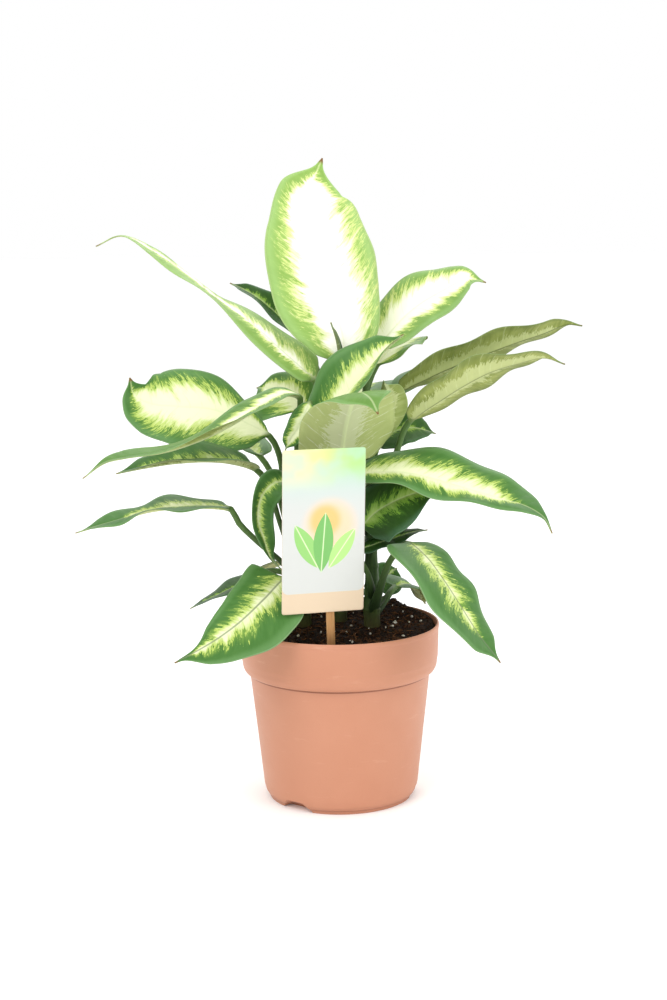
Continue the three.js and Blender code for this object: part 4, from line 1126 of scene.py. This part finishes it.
def add_card(material):
    corner, right, top = CARD.corner, CARD.width / 2 - CARD.corner, CARD.height - CARD.corner
    border = []
    for quarter, (x, z) in enumerate([(right, top), (-right, top), (-right, corner), (right, corner)]):
        for a in radians(90 * quarter + np.arange(0, 91, 15)):
            border.append((x + corner * cos(a), z + corner * sin(a)))
    centre = np.array([0, CARD.height / 2])
    front = -STAKE.thickness / 2 - CARD.gap - CARD.thickness
    back = front + CARD.thickness
    loops = [(share, front, 1) for share in (0.0, 0.5, 0.8, 0.97, 0.995)]
    loops += [(1.0, front + CARD.edge, 1), (1.0, back - CARD.edge, 0)]
    loops += [(share, back, 0) for share in (0.995, 0.5, 0.0)]
    corners, prints = [], []
    for share, y, face in loops:
        x, z = (centre + (border - centre) * share).T
        bow = CARD.bow * (x / (CARD.width / 2)) ** 2
        corners.extend(threes(x + CARD.shift, y - bow, z + CARD.foot))
        prints.extend(threes(x, z, face))
    faces = [quad[::-1] for quad in grid_faces(len(loops), len(border))]
    printed = {"print": prints}
    add_piece("printed_card", tag_places(corners), faces, material, ["tag_card"], printed)


def stake_section(wide, thick, wear):
    """The corners round the stake's section, which is a flat bar with soft edges."""
    soft = STAKE.edge
    return [(-wide, thick - soft), (-wide + soft, thick), (0, thick + 0.02), (wide - soft, thick),
            (wide, thick - soft), (wide + wear, 0), (wide, soft - thick), (wide - soft, -thick),
            (0, -thick), (soft - wide, -thick), (-wide, soft - thick), (-wide + wear, 0)]


def add_stake(material):
    foot, top = -STAKE.depth, STAKE.length - STAKE.depth
    heights = [foot, foot + 1, foot + 4, foot + 8, *np.linspace(foot + 12, top - 0.4, STAKE.rings), top]
    corners = []
    for z in heights:
        narrow = lerp(STAKE.tip_share, 1.0, min(1, (z - foot) / STAKE.point))
        inset = STAKE.bevel if z in (foot, top) else 0.0
        wear = STAKE.wear * sin(0.31 * z)
        section = stake_section(STAKE.width / 2 * narrow - inset, STAKE.thickness / 2 - inset, wear)
        corners += [(x, y, z) for x, y in section]
    leaned = np.array(corners) @ np.array(Matrix.Rotation(radians(STAKE.lean), 3, "Y")).T
    faces = tube_faces(len(heights), len(corners) // len(heights))
    add_piece("wooden_stake", tag_places(leaned), faces, material, ["tag_stake"])


# The camera, the lights and the floor, with places in metres. The camera's roll is in radians.

CAMERA = Sizes(place=(-0.0027, -1.0, 0.338), down=8.8, roll=-0.012, lens=60.12, sensor=36.0, near=0.01)
# Each light's place, width and power
LIGHTS = {
    "key": ((-1.1, -1.5, 1.9), 1.6, 24.0),
    "fill": ((1.5, -1.2, 1.1), 1.6, 12.0),
    "back": ((0.2, 1.5, 1.8), 1.8, 16.0),
}
LIGHTS_AIM = Vector((0, 0, 0.2))
FLOOR_REACH = 40.0


def add_camera():
    data = bpy.data.cameras.new("photo_camera")
    data.lens = CAMERA.lens
    data.sensor_width = CAMERA.sensor
    data.clip_start = CAMERA.near
    camera = new_object("photo_camera", data)
    look = Euler((radians(90 - CAMERA.down), 0, 0)).to_matrix().to_4x4()
    camera.matrix_world = Matrix.Translation(CAMERA.place) @ look @ Matrix.Rotation(CAMERA.roll, 4, "Z")
    bpy.context.scene.camera = camera


def add_studio():
    reach = FLOOR_REACH / MM
    corners = [(-reach, -reach, 0), (reach, -reach, 0), (reach, reach, 0), (-reach, reach, 0)]
    floor = new_form("floor", corners, [(0, 1, 2, 3)])
    floor.data.materials.append(floor_finish())
    for name, (place, width, power) in LIGHTS.items():
        data = bpy.data.lights.new(name, "AREA")
        data.shape = "DISK"
        data.size = width
        data.energy = power
        lamp = new_object(name, data)
        lamp.location = place
        lamp.rotation_euler = (LIGHTS_AIM - Vector(place)).to_track_quat("-Z", "Y").to_euler()
    world = bpy.data.worlds.new("studio")
    world.use_nodes = True
    sky = world.node_tree.nodes["Background"]
    sky.inputs["Color"].default_value = (1.0, 1.0, 1.0, 1.0)
    sky.inputs["Strength"].default_value = 1.0
    bpy.context.scene.world = world
    bpy.context.scene.view_settings.view_transform = "Standard"


rng = np.random.default_rng(SEED)
add_camera()
add_studio()
add_pot(pot_finish())
add_soil(rng)
add_canes(cane_finish())
add_leaves(leaf_finish())
add_card(card_finish())
add_stake(wood_finish())
